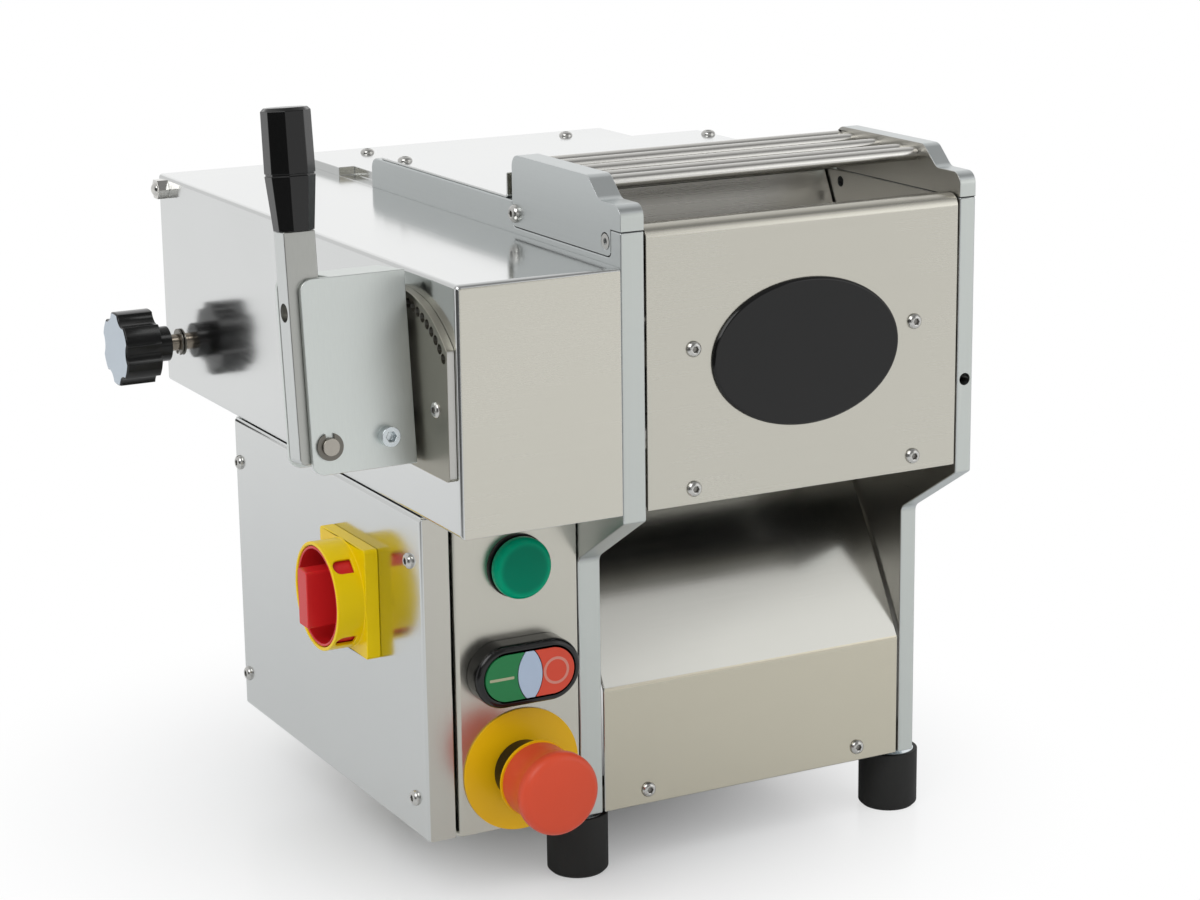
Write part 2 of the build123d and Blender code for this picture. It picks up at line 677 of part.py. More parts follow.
right_blank = side_plate(RIGHT_IN, RIGHT_OUT, ROLLER_BORES)
with BuildPart() as right_side_plate:
    add(right_blank.part)
    # oil hole from the front edge down to the eccentric shaft's bush
    with BuildSketch(front(Y_FRONT)):
        with Locations((RIGHT_MIDDLE, ECC_Z)):
            Circle(OIL_HOLE_R)
    extrude(amount=-ECC_Y, mode=Mode.SUBTRACT)
right_side_plate.part.label = "right_side_plate"
export_step(right_side_plate.part, "parts/right_side_plate.step")

# Tie bars between the plates, drilled for the screws of the panel, the chute and the plates
BAR_HOLE_L = BAR_SCREW_L - min(LEFT_PLATE_T, RIGHT_PLATE_T) + HOLE_PAST
with BuildPart() as tie_bars:
    with BuildSketch(side(LEFT_IN)):
        with Locations(*BAR_CENTRES):
            Rectangle(BAR, BAR)
    extrude(amount=PLATE_GAP)
    for x, inwards in ((LEFT_IN, 1), (RIGHT_IN, -1)):
        with BuildSketch(side(x)):
            with Locations(*BAR_CENTRES):
                Circle(BAR_SCREW_R + FIT)
        extrude(amount=inwards * BAR_HOLE_L, mode=Mode.SUBTRACT)
    with BuildSketch(front(Y_FRONT + SHEET)):
        with Locations(*[(X_MID + s * PANEL_SCREW_X, z) for s in (-1, 1) for z in PANEL_SCREW_ZS]):
            Circle(SCREW_R + FIT)
    extrude(amount=-SCREW_L, mode=Mode.SUBTRACT)
    with BuildSketch(front(Y_LOW + SHEET)):
        with Locations(*[(X_MID + s * PANEL_SCREW_X, CHUTE_SCREW_Z) for s in (-1, 1)]):
            Circle(SCREW_R + FIT)
    extrude(amount=-SCREW_L, mode=Mode.SUBTRACT)
tie_bars.part.label = "tie_bars"
export_step(tie_bars.part, "parts/tie_bars.step")

BAR_SCREW_PLACES = [
    Plane(origin=(x, *at), z_dir=(outwards, 0, 0))
    for x, outwards in ((LEFT_OUT, -1), (RIGHT_OUT, 1))
    for at in BAR_CENTRES
]
tie_bar_screws = flush_screws(
    BAR_SCREW_PLACES, BAR_SCREW_HEAD_R, BAR_SCREW_HEAD_H, BAR_SCREW_R, BAR_SCREW_L
)
tie_bar_screws.part.label = "tie_bar_screws"
export_step(tie_bar_screws.part, "parts/tie_bar_screws.step")


# Guard cheeks: stepped side pieces half-lapped into the plates
def guard_cheek(inner, outer):
    """Cheek standing on one plate, with its tongue let into the plate's outer face."""
    thick = abs(outer - inner)
    tongue_from = outer if outer > inner else outer + CHEEK_TONGUE_T - FIT
    into = 1 if outer > inner else -1
    with BuildPart() as cheek:
        with BuildSketch(side(min(inner, outer))) as outline:
            with BuildLine():
                Polyline(
                    (Y_FRONT, PLATE_TOP),
                    (Y_FRONT, PLATE_TOP + CHEEK_LOW),
                    (Y_FRONT + CHEEK_STEP_FRONT, PLATE_TOP + CHEEK_LOW),
                    (Y_FRONT + CHEEK_STEP_REAR, PLATE_TOP + CHEEK_HIGH),
                    (Y_FRONT + CHEEK_REAR, PLATE_TOP + CHEEK_HIGH),
                    (Y_FRONT + CHEEK_REAR, PLATE_TOP),
                    close=True,
                )
            make_face()
            rounded = outline.vertices().filter_by_position(
                Axis.Y, PLATE_TOP + CHEEK_LOW, PLATE_TOP + CHEEK_HIGH
            )
            fillet(rounded, CHEEK_R)
        extrude(amount=thick)
        with BuildSketch(side(tongue_from)) as tongue:
            with Locations((Y_FRONT + CHEEK_TONGUE_FRONT + FIT, PLATE_TOP)):
                Rectangle(
                    CHEEK_REAR - CHEEK_TONGUE_FRONT - FIT,
                    CHEEK_TONGUE_H - FIT,
                    align=(Align.MIN, Align.MAX),
                )
            fillet(tongue.vertices().group_by(Axis.Y)[0], CHEEK_TONGUE_R)
        extrude(amount=-(CHEEK_TONGUE_T - FIT))
        with BuildSketch(side(inner)):
            with Locations(*ROD_PLACES):
                Circle(ROD_R + FIT)
        extrude(amount=into * ROD_SEAT, mode=Mode.SUBTRACT)
        with BuildSketch(side(min(inner, outer))):
            with Locations(*CHEEK_SCREWS):
                Circle(CHEEK_SCREW_R + FIT)
        extrude(amount=thick, mode=Mode.SUBTRACT)
        with Locations(Plane(origin=(outer, *CHEEK_SCREWS[1]), z_dir=(into, 0, 0))):
            Cone(
                CHEEK_SCREW_R + FIT,
                FLAT_HEAD_R + HOLE_PLAY,
                FLAT_HEAD_H,
                align=(Align.CENTER, Align.CENTER, Align.MAX),
                mode=Mode.SUBTRACT,
            )
    return cheek


left_guard_cheek = guard_cheek(LEFT_IN, LEFT_OUT)
left_guard_cheek.part.label = "left_guard_cheek"
export_step(left_guard_cheek.part, "parts/left_guard_cheek.step")

right_guard_cheek = guard_cheek(RIGHT_IN, RIGHT_OUT)
right_guard_cheek.part.label = "right_guard_cheek"
export_step(right_guard_cheek.part, "parts/right_guard_cheek.step")

with BuildPart() as guard_rods:
    with BuildSketch(side(LEFT_IN - ROD_SEAT)):
        with Locations(*ROD_PLACES):
            Circle(ROD_R)
    extrude(amount=PLATE_GAP + 2 * ROD_SEAT)
guard_rods.part.label = "guard_rods"
export_step(guard_rods.part, "parts/guard_rods.step")

CHEEK_SCREW_PLANES = [
    [Plane(origin=(x, *at), z_dir=(out, 0, 0)) for x, out in ((LEFT_OUT, -1), (RIGHT_OUT, 1))]
    for at in CHEEK_SCREWS
]
with BuildPart() as cheek_screws:
    add(screws(CHEEK_SCREW_PLANES[0], PAN_HEAD_R, PAN_HEAD_H, CHEEK_SCREW_R, CHEEK_SCREW_L).part)
    add(
        flush_screws(
            CHEEK_SCREW_PLANES[1], FLAT_HEAD_R, FLAT_HEAD_H, CHEEK_SCREW_R, CHEEK_SCREW_L
        ).part
    )
cheek_screws.part.label = "cheek_screws"
export_step(cheek_screws.part, "parts/cheek_screws.step")

# Front panel: one sheet folded over the top and down into the hopper
PANEL_HALF = PLATE_GAP / 2 - PANEL_SIDE_GAP
with BuildPart() as front_panel:
    with BuildSketch(side(X_MID - PANEL_HALF)):
        with BuildLine():
            FilletPolyline(
                (Y_FRONT, PANEL_BOTTOM),
                (Y_FRONT, PANEL_TOP),
                (Y_FRONT + PANEL_FLAT, PANEL_TOP),
                (Y_FRONT + HOPPER_FRONT_END, HOPPER_MOUTH_LOW),
                radius=PANEL_BEND,
            )
            offset(amount=SHEET, side=Side.RIGHT)
        make_face()
    extrude(amount=2 * PANEL_HALF)
    with BuildSketch(front(Y_FRONT)):
        with Locations(*[(X_MID + s * PANEL_SCREW_X, z) for s in (-1, 1) for z in PANEL_SCREW_ZS]):
            Circle(SCREW_R + HOLE_PLAY)
    extrude(amount=-SHEET, mode=Mode.SUBTRACT)
front_panel.part.label = "front_panel"
export_step(front_panel.part, "parts/front_panel.step")

# Oval badge plate, bare, with a softly rounded rim
with BuildPart() as badge:
    with BuildSketch(front(Y_FRONT)):
        with Locations((X_MID, PANEL_SCREW_ZS[1] - BADGE_DROP)):
            Ellipse(BADGE_L / 2, BADGE_H / 2)
    extrude(amount=BADGE_T)
    chamfer(badge.edges().group_by(Axis.Y)[0], BADGE_T / 2)
badge.part.label = "badge"
export_step(badge.part, "parts/badge.step")

# Hopper back wall: leaning sheet hung from a flange under the top cover
BACK_WALL_RUN = (PLATE_TOP - HOPPER_MOUTH_LOW) * tan(radians(HOPPER_BACK_LEAN))
with BuildPart() as hopper_back_wall:
    with BuildSketch(side(X_MID - PANEL_HALF)):
        with BuildLine():
            FilletPolyline(
                (Y_FRONT + HOPPER_BACK_TOP + HOPPER_FLANGE, PLATE_TOP),
                (Y_FRONT + HOPPER_BACK_TOP, PLATE_TOP),
                (Y_FRONT + HOPPER_BACK_TOP - BACK_WALL_RUN, HOPPER_MOUTH_LOW),
                radius=2 * SHEET,
            )
            offset(amount=SHEET, side=Side.LEFT)
        make_face()
    extrude(amount=2 * PANEL_HALF)
hopper_back_wall.part.label = "hopper_back_wall"
export_step(hopper_back_wall.part, "parts/hopper_back_wall.step")

# Outlet chute: upright face and a slope that rises to the back
CHUTE_HALF = PLATE_GAP / 2 - CHUTE_SIDE_GAP
CHUTE_RISE = CHUTE_SLOPE_L * sin(radians(CHUTE_SLOPE))
CHUTE_RUN = CHUTE_SLOPE_L * cos(radians(CHUTE_SLOPE))
CHUTE_EDGE = PLATE_BOTTOM + CHUTE_FACE_H
with BuildPart() as outlet_chute:
    with BuildSketch(side(X_MID - CHUTE_HALF)):
        with BuildLine():
            FilletPolyline(
                (Y_LOW, PLATE_BOTTOM),
                (Y_LOW, CHUTE_EDGE),
                (Y_LOW + CHUTE_RUN, CHUTE_EDGE + CHUTE_RISE),
                radius=CHUTE_BEND,
            )
            offset(amount=SHEET, side=Side.RIGHT)
        make_face()
    extrude(amount=2 * CHUTE_HALF)
    with BuildSketch(front(Y_LOW)):
        with Locations(*[(X_MID + s * PANEL_SCREW_X, CHUTE_SCREW_Z) for s in (-1, 1)]):
            Circle(SCREW_R + HOLE_PLAY)
    extrude(amount=-SHEET, mode=Mode.SUBTRACT)
outlet_chute.part.label = "outlet_chute"
export_step(outlet_chute.part, "parts/outlet_chute.step")

# Top cover on the plates, with its front edge turned up behind the guard
COVER_L = RIGHT_OUT - LEFT_OUT - 2 * COVER_INSET
with BuildPart() as top_cover:
    with BuildSketch(side(LEFT_OUT + COVER_INSET)):
        with BuildLine():
            FilletPolyline(
                (Y_FRONT + COVER_FRONT, PLATE_TOP + COVER_T + COVER_LIP),
                (Y_FRONT + COVER_FRONT, PLATE_TOP),
                (Y_FRONT + COVER_REAR, PLATE_TOP),
                radius=2 * COVER_T,
            )
            offset(amount=COVER_T, side=Side.LEFT)
        make_face()
    extrude(amount=COVER_L)
    with BuildSketch(Plane.XY.offset(PLATE_TOP)):
        with Locations((LEFT_MIDDLE, COVER_SCREW_Y), (RIGHT_MIDDLE, COVER_SCREW_Y)):
            Circle(SCREW_R + HOLE_PLAY)
    extrude(amount=COVER_T, mode=Mode.SUBTRACT)
top_cover.part.label = "top_cover"
export_step(top_cover.part, "parts/top_cover.step")

# Rear cover over the motor: a closed box with a neck that reaches in between the plates
REAR_LOW = REAR_TOP - REAR_H
NECK_HALF_L = X_MID - LEFT_IN + REAR_NECK_OVER
NECK_HALF_R = RIGHT_IN - X_MID + REAR_NECK_OVER
Y_WIDE = Y_PLATE_REAR + REAR_NECK_SHARE * (REAR_DEPTH - PLATE_DEPTH)
LEDGE_L = Y_WIDE - Y_PLATE_REAR + SHEET / 2
REAR_SCREW_Y = Y_REAR - REAR_SCREW_IN
with BuildPart() as rear_cover:
    with BuildSketch(Plane.XY.offset(REAR_LOW)):
        with BuildLine():
            Polyline(
                (X_MID - NECK_HALF_L, Y_PLATE_REAR),
                (X_MID + NECK_HALF_R, Y_PLATE_REAR),
                (X_MID + NECK_HALF_R, Y_WIDE),
                (RIGHT_OUT, Y_WIDE),
                (RIGHT_OUT, Y_REAR),
                (LEFT_OUT, Y_REAR),
                (LEFT_OUT, Y_WIDE),
                (X_MID - NECK_HALF_L, Y_WIDE),
                close=True,
            )
        make_face()
    extrude(amount=REAR_H)
    offset(amount=-SHEET, openings=rear_cover.faces().sort_by(Axis.Y)[0], kind=Kind.INTERSECTION)
    # tongue of the top sheet, forward between the plates and under the top cover
    with BuildSketch(Plane.XY.offset(REAR_TOP)):
        with Locations((X_MID, Y_PLATE_REAR + SHEET)):
            Rectangle(
                PLATE_GAP - 2 * REAR_TONGUE_PLAY,
                PLATE_DEPTH - COVER_REAR + 2 * SHEET,
                align=(Align.CENTER, Align.MAX),
            )
    extrude(amount=-SHEET)
    # ledges beside the neck, level with the gear housing's top
    with BuildSketch(Plane.XY.offset(REAR_TOP - REAR_LEDGE_DROP)):
        with Locations((LEFT_OUT, Y_PLATE_REAR)):
            Rectangle(
                X_MID - NECK_HALF_L + SHEET / 2 - LEFT_OUT,
                LEDGE_L,
                align=(Align.MIN, Align.MIN),
            )
        with Locations((RIGHT_OUT, Y_PLATE_REAR)):
            Rectangle(
                RIGHT_OUT - X_MID - NECK_HALF_R + SHEET / 2,
                LEDGE_L,
                align=(Align.MAX, Align.MIN),
            )
    extrude(amount=-SHEET)
    with BuildSketch(Plane.XY.offset(REAR_TOP)):
        with Locations(*[(X_MID + s * REAR_SCREW_X, REAR_SCREW_Y) for s in (-1, 1)]):
            Circle(SCREW_R + HOLE_PLAY)
    extrude(amount=-SHEET, mode=Mode.SUBTRACT)
rear_cover.part.label = "rear_cover"
export_step(rear_cover.part, "parts/rear_cover.step")

# Back panel between the plates, below the rear cover and against the lower rear bar
with BuildPart() as back_panel:
    with BuildSketch(front(REAR_BAR_Y + BAR / 2)):
        with Locations((X_MID, PLATE_BOTTOM)):
            Rectangle(
                PLATE_GAP - 2 * BACK_PANEL_GAP,
                REAR_LOW - PLATE_BOTTOM,
                align=(Align.CENTER, Align.MIN),
            )
    extrude(amount=-SHEET)
back_panel.part.label = "back_panel"
export_step(back_panel.part, "parts/back_panel.step")

# Rear roller with its shaft, and the bushes that carry it
REAR_SHAFT_L = SHAFT_RIGHT - DRIVE_END
with BuildPart() as rear_roller:
    with BuildSketch(side(ROLL_LEFT)):
        with Locations(REAR_ROLL):
            Circle(ROLL_R)
    extrude(amount=ROLL_L)
    with BuildSketch(side(DRIVE_END)):
        with Locations(REAR_ROLL):
            Circle(ROLL_SHAFT_R)
    extrude(amount=REAR_SHAFT_L)
rear_roller.part.label = "rear_roller"
export_step(rear_roller.part, "parts/rear_roller.step")

rear_roller_gear = gear(
    side(GEAR_LEFT),
    REAR_ROLL,
    ROLL_GEAR_TEETH,
    ROLL_GEAR_MODULE,
    ROLL_GEAR_W,
    ROLL_SHAFT_R + FIT,
    180 / ROLL_GEAR_TEETH,
)
rear_roller_gear.part.label = "rear_roller_gear"
export_step(rear_roller_gear.part, "parts/rear_roller_gear.step")

with BuildPart() as plate_bushes:
    for x, length in ((LEFT_OUT, LEFT_PLATE_T), (RIGHT_IN, RIGHT_PLATE_T)):
        with BuildSketch(side(x)):
            with Locations(REAR_ROLL):
                Circle(ROLL_BUSH_R)
                Circle(ROLL_SHAFT_R + FIT, mode=Mode.SUBTRACT)
            with Locations(ECC_AT):
                Circle(ECC_BUSH_R)
                Circle(ECC_SHAFT_R + FIT, mode=Mode.SUBTRACT)
        extrude(amount=length)
plate_bushes.part.label = "plate_bushes"
export_step(plate_bushes.part, "parts/plate_bushes.step")

# Eccentric shaft: turned by the lever, its offset middle carries the front roller
ECC_MID = (FRONT_ROLL[0], ECC_Z + ECC_THROW * cos(HALF_SWING))
with BuildPart() as eccentric_shaft:
    for x, end in ((LEVER_SHAFT_END, GEAR_LEFT), (ROLL_RIGHT, SHAFT_RIGHT)):
        with BuildSketch(side(x)):
            with Locations(ECC_AT):
                Circle(ECC_SHAFT_R)
        extrude(amount=end - x)
    with BuildSketch(side(GEAR_LEFT)):
        with Locations(ECC_MID):
            Circle(ECC_MID_R)
    extrude(amount=ROLL_RIGHT - GEAR_LEFT)
    # cross hole for the screw that clamps the lever's bracket
    with BuildSketch(LEVER.offset(BRACKET_FRONT)):
        with Locations((CAP_SCREW_X, 0)):
            Circle(CAP_SCREW_R + FIT)
    extrude(amount=-BRACKET_FRONT - CAP_SCREW_R, mode=Mode.SUBTRACT)
eccentric_shaft.part.label = "eccentric_shaft"
export_step(eccentric_shaft.part, "parts/eccentric_shaft.step")

# Front roller: a tube on two bushes round the eccentric
with BuildPart() as front_roller:
    with BuildSketch(side(ROLL_LEFT)):
        with Locations(FRONT_ROLL):
            Circle(ROLL_R)
            Circle(FRONT_BUSH_R + FIT, mode=Mode.SUBTRACT)
    extrude(amount=ROLL_L)
front_roller.part.label = "front_roller"
export_step(front_roller.part, "parts/front_roller.step")

front_roller_gear = gear(
    side(GEAR_LEFT),
    FRONT_ROLL,
    ROLL_GEAR_TEETH,
    ROLL_GEAR_MODULE,
    ROLL_GEAR_W,
    FRONT_BUSH_R,
    0,
)
front_roller_gear.part.label = "front_roller_gear"
export_step(front_roller_gear.part, "parts/front_roller_gear.step")

with BuildPart() as front_roller_bushes:
    for x in (ROLL_LEFT, ROLL_RIGHT - FRONT_BUSH_L):
        with BuildSketch(side(x)):
            with Locations(FRONT_ROLL):
                Circle(FRONT_BUSH_R)
                Circle(ECC_MID_R + PLAY, mode=Mode.SUBTRACT)
        extrude(amount=FRONT_BUSH_L)
front_roller_bushes.part.label = "front_roller_bushes"
export_step(front_roller_bushes.part, "parts/front_roller_bushes.step")

# Drive train inside the gear housing
drive_gear = gear(
    side(DRIVE_LEFT), REAR_ROLL, DRIVE_TEETH, DRIVE_MODULE, DRIVE_W, ROLL_SHAFT_R + FIT, 0
)
drive_gear.part.label = "drive_gear"
export_step(drive_gear.part, "parts/drive_gear.step")

idler_gear = gear(
    side(DRIVE_LEFT),
    IDLER_AT,
    IDLER_TEETH,
    DRIVE_MODULE,
    DRIVE_W,
    IDLER_STUD_R + FIT,
    180 / IDLER_TEETH,
)
idler_gear.part.label = "idler_gear"
export_step(idler_gear.part, "parts/idler_gear.step")

with BuildPart() as idler_stud:
    with BuildSketch(side(LEFT_IN)):
        with Locations(IDLER_AT):
            Circle(IDLER_STUD_R)
    extrude(amount=DRIVE_LEFT - PLAY - LEFT_IN)
    with BuildSketch(side(DRIVE_LEFT - PLAY)):
        with Locations(IDLER_AT):
            Circle(IDLER_BUSH_HEAD)
    extrude(amount=-SHAFT_PAST_GEAR)
    with BuildSketch(side(LEFT_OUT)):
        with Locations(IDLER_AT):
            Circle(IDLER_BUSH_HEAD)
    extrude(amount=PLAY - DRIVE_OUT)
idler_stud.part.label = "idler_stud"
export_step(idler_stud.part, "parts/idler_stud.step")

pinion_blank = gear(
    side(DRIVE_LEFT), PINION_AT, PINION_TEETH, DRIVE_MODULE, DRIVE_W, MOTOR_SHAFT_R - FIT, 0
)
with BuildPart() as motor_pinion:
    add(pinion_blank.part)
    with BuildSketch(side(LEFT_IN + GEARBOX_L / 2)):
        with Locations(PINION_AT):
            Circle(MOTOR_SHAFT_R)
    extrude(amount=DRIVE_END - LEFT_IN - GEARBOX_L / 2)
motor_pinion.part.label = "motor_pinion"
export_step(motor_pinion.part, "parts/motor_pinion.step")

# Gearmotor: reduction gearbox against the left plate, with its ribbed motor behind
MOTOR_X = LEFT_IN + GEARBOX_L / 2 + MOTOR_R / 2
MOTOR_FRONT = PINION_AT[0] + GEARBOX_W / 2
MOTOR_L = Y_REAR - SHEET - MOTOR_REAR_GAP - MOTOR_FRONT
with BuildPart() as gearmotor:
    with BuildSketch(side(LEFT_IN)):
        with Locations(PINION_AT):
            RectangleRounded(GEARBOX_W, GEARBOX_H, GEARBOX_EDGE)
    extrude(amount=GEARBOX_L)
    with BuildSketch(side(LEFT_IN)):
        with Locations(PINION_AT):
            Circle(MOTOR_SHAFT_R + PLAY)
    extrude(amount=GEARBOX_L / 2 + PLAY, mode=Mode.SUBTRACT)
    with BuildSketch(front(MOTOR_FRONT)):
        with Locations((MOTOR_X, ROLL_Z)):
            Circle(MOTOR_R - MOTOR_RIB_H)
            with PolarLocations(MOTOR_R - MOTOR_RIB_H, MOTOR_RIBS):
                Rectangle(2 * MOTOR_RIB_H, MOTOR_RIB_W)
    extrude(amount=-MOTOR_L)
gearmotor.part.label = "gearmotor"
export_step(gearmotor.part, "parts/gearmotor.step")

# Gear housing: folded cover, open to the left plate and closed behind it
with BuildPart() as gear_housing:
    with BuildSketch(Plane.XY.offset(HOUSING_BOTTOM)):
        with Locations((HOUSING_LEFT, Y_FRONT)):
            Rectangle(HOUSING_W, REAR_DEPTH, align=(Align.MIN, Align.MIN))
    extrude(amount=HOUSING_H)
    bends = gear_housing.faces().sort_by(Axis.X)[0].edges()
    bends += gear_housing.faces().sort_by(Axis.Z)[-1].edges().sort_by(Axis.Y)[0]
    fillet(bends, HOUSING_BEND)
    with BuildSketch(side(LEFT_OUT)):
        with Locations((Y_FRONT + SHEET, HOUSING_BOTTOM + SHEET)):
            Rectangle(
                PLATE_DEPTH - SHEET,
                HOUSING_H - 2 * SHEET,
                align=(Align.MIN, Align.MIN),
            )
    extrude(amount=SHEET - HOUSING_W, mode=Mode.SUBTRACT)
    with BuildSketch(side(LEFT_OUT - SHEET)):
        with Locations((Y_REAR - SHEET, HOUSING_BOTTOM + SHEET)):
            Rectangle(
                REAR_DEPTH - PLATE_DEPTH,
                HOUSING_H - 2 * SHEET,
                align=(Align.MAX, Align.MIN),
            )
    extrude(amount=2 * SHEET - HOUSING_W, mode=Mode.SUBTRACT)
    with BuildSketch(side(HOUSING_LEFT)):
        with Locations(ECC_AT):
            Circle(ECC_SHAFT_R + PLAY)
        with Locations(*SECTOR_SCREWS):
            Circle(SCREW_R + HOLE_PLAY)
        with Locations(CAP_NUT_AT):
            Circle(CAP_STUD_R + HOLE_PLAY)
    extrude(amount=SHEET, mode=Mode.SUBTRACT)
    # boss inside the wall that carries the adjuster's shaft
    with BuildSketch(side(HOUSING_LEFT + SHEET)):
        with Locations(KNOB_AT):
            Circle(ADJUSTER_BOSS_R)
    extrude(amount=ADJUSTER_BOSS_L)
    with BuildSketch(side(HOUSING_LEFT)):
        with Locations(KNOB_AT):
            Circle(ADJUSTER_R + FIT)
    extrude(amount=SHEET + ADJUSTER_BOSS_L, mode=Mode.SUBTRACT)
gear_housing.part.label = "gear_housing"
export_step(gear_housing.part, "parts/gear_housing.step")

# Cap nut on the housing's rear stud
with BuildPart() as cap_nut:
    with BuildSketch(leftward(HOUSING_LEFT, CAP_NUT_AT)):
        RegularPolygon(CAP_NUT_FLATS / 2, 6, major_radius=False)
    extrude(amount=CAP_NUT_HEX_H)
    with Locations(leftward(HOUSING_LEFT - CAP_NUT_HEX_H, CAP_NUT_AT)):
        Sphere(CAP_NUT_DOME_R, arc_size1=0)
    with Locations(leftward(HOUSING_LEFT, CAP_NUT_AT)):
        Cylinder(CAP_STUD_R, CAP_STUD_L, align=(Align.CENTER, Align.CENTER, Align.MAX))
cap_nut.part.label = "cap_nut"
export_step(cap_nut.part, "parts/cap_nut.step")

# Adjuster: lobed knob, shaft and retaining rings on both sides of the housing wall
KNOB_RIGHT = HOUSING_LEFT - ADJUSTER_OUT
with BuildPart() as star_knob:
    with BuildSketch(leftward(KNOB_RIGHT - KNOB_HUB_L, KNOB_AT)):
        Circle(KNOB_R)
        with PolarLocations(KNOB_SCALLOP_AT, KNOB_LOBES):
            Circle(KNOB_SCALLOP_R, mode=Mode.SUBTRACT)
    extrude(amount=KNOB_T)
    chamfer(star_knob.edges().group_by(Axis.X)[0], KNOB_EDGE)
    with BuildSketch(leftward(KNOB_RIGHT, KNOB_AT)):
        Circle(KNOB_HUB_R)
    extrude(amount=KNOB_HUB_L)
    with BuildSketch(leftward(KNOB_RIGHT, KNOB_AT)):
        Circle(ADJUSTER_R + FIT)
    extrude(amount=KNOB_HUB_L, mode=Mode.SUBTRACT)
star_knob.part.label = "star_knob"
export_step(star_knob.part, "parts/star_knob.step")

BOSS_END = HOUSING_LEFT + SHEET + ADJUSTER_BOSS_L
RING_XS = (HOUSING_LEFT - PLAY - RING_T, BOSS_END + PLAY)
with BuildPart() as adjuster_shaft:
    with BuildSketch(side(KNOB_RIGHT - KNOB_HUB_L)):
        with Locations(KNOB_AT):
            Circle(ADJUSTER_R)
    extrude(amount=KNOB_HUB_L + ADJUSTER_OUT + ADJUSTER_IN)
    for x in RING_XS:
        with BuildSketch(side(x)):
            with Locations(KNOB_AT):
                Circle(ADJUSTER_R)
                Circle(ADJUSTER_R - ADJUSTER_GROOVE, mode=Mode.SUBTRACT)
        extrude(amount=RING_T, mode=Mode.SUBTRACT)
adjuster_shaft.part.label = "adjuster_shaft"
export_step(adjuster_shaft.part, "parts/adjuster_shaft.step")

with BuildPart() as adjuster_rings:
    for x in RING_XS:
        with BuildSketch(side(x)):
            with Locations(KNOB_AT):
                Circle(RING_R)
                Circle(ADJUSTER_R - ADJUSTER_GROOVE + FIT, mode=Mode.SUBTRACT)
            with Locations((KNOB_AT[0], KNOB_AT[1] - RING_R)):
                Rectangle(RING_GAP, RING_R, mode=Mode.SUBTRACT)
        extrude(amount=RING_T)
adjuster_rings.part.label = "adjuster_rings"
export_step(adjuster_rings.part, "parts/adjuster_rings.step")

# Index sector on the housing's left face
SECTOR_LOW = HOUSING_BOTTOM + SECTOR_BOTTOM
SECTOR_FRONT = Y_FRONT + SECTOR_IN
SECTOR_FRONT_Z = ECC_Z + sqrt(SECTOR_R ** 2 - (ECC_Y - SECTOR_IN) ** 2)
SECTOR_END = (
    ECC_AT[0] + SECTOR_R * cos(radians(SECTOR_REAR_ANGLE)),
    ECC_Z + SECTOR_R * sin(radians(SECTOR_REAR_ANGLE)),
)
with BuildPart() as sector_plate:
    with BuildSketch(side(SECTOR_OUT)) as sector_face:
        with BuildLine():
            Line((SECTOR_FRONT, SECTOR_LOW), (SECTOR_FRONT, SECTOR_FRONT_Z))
            ThreePointArc(
                (SECTOR_FRONT, SECTOR_FRONT_Z), (ECC_AT[0], ECC_Z + SECTOR_R), SECTOR_END
            )
            Line(SECTOR_END, (SECTOR_END[0], SECTOR_LOW))
            Line((SECTOR_END[0], SECTOR_LOW), (SECTOR_FRONT, SECTOR_LOW))
        make_face()
        fillet(sector_face.vertices(), SECTOR_CORNER)
        with Locations(ECC_AT):
            Circle(ECC_SHAFT_R + PLAY, mode=Mode.SUBTRACT)
            with PolarLocations(
                INDEX_R,
                INDEX_HOLES,
                start_angle=INDEX_FIRST,
                angular_range=LEVER_TRAVEL,
                endpoint=True,
            ):
                Circle(INDEX_HOLE_R, mode=Mode.SUBTRACT)
        with Locations(*SECTOR_SCREWS):
            Circle(SCREW_R + HOLE_PLAY, mode=Mode.SUBTRACT)
    extrude(amount=SECTOR_T)
sector_plate.part.label = "sector_plate"
export_step(sector_plate.part, "parts/sector_plate.step")

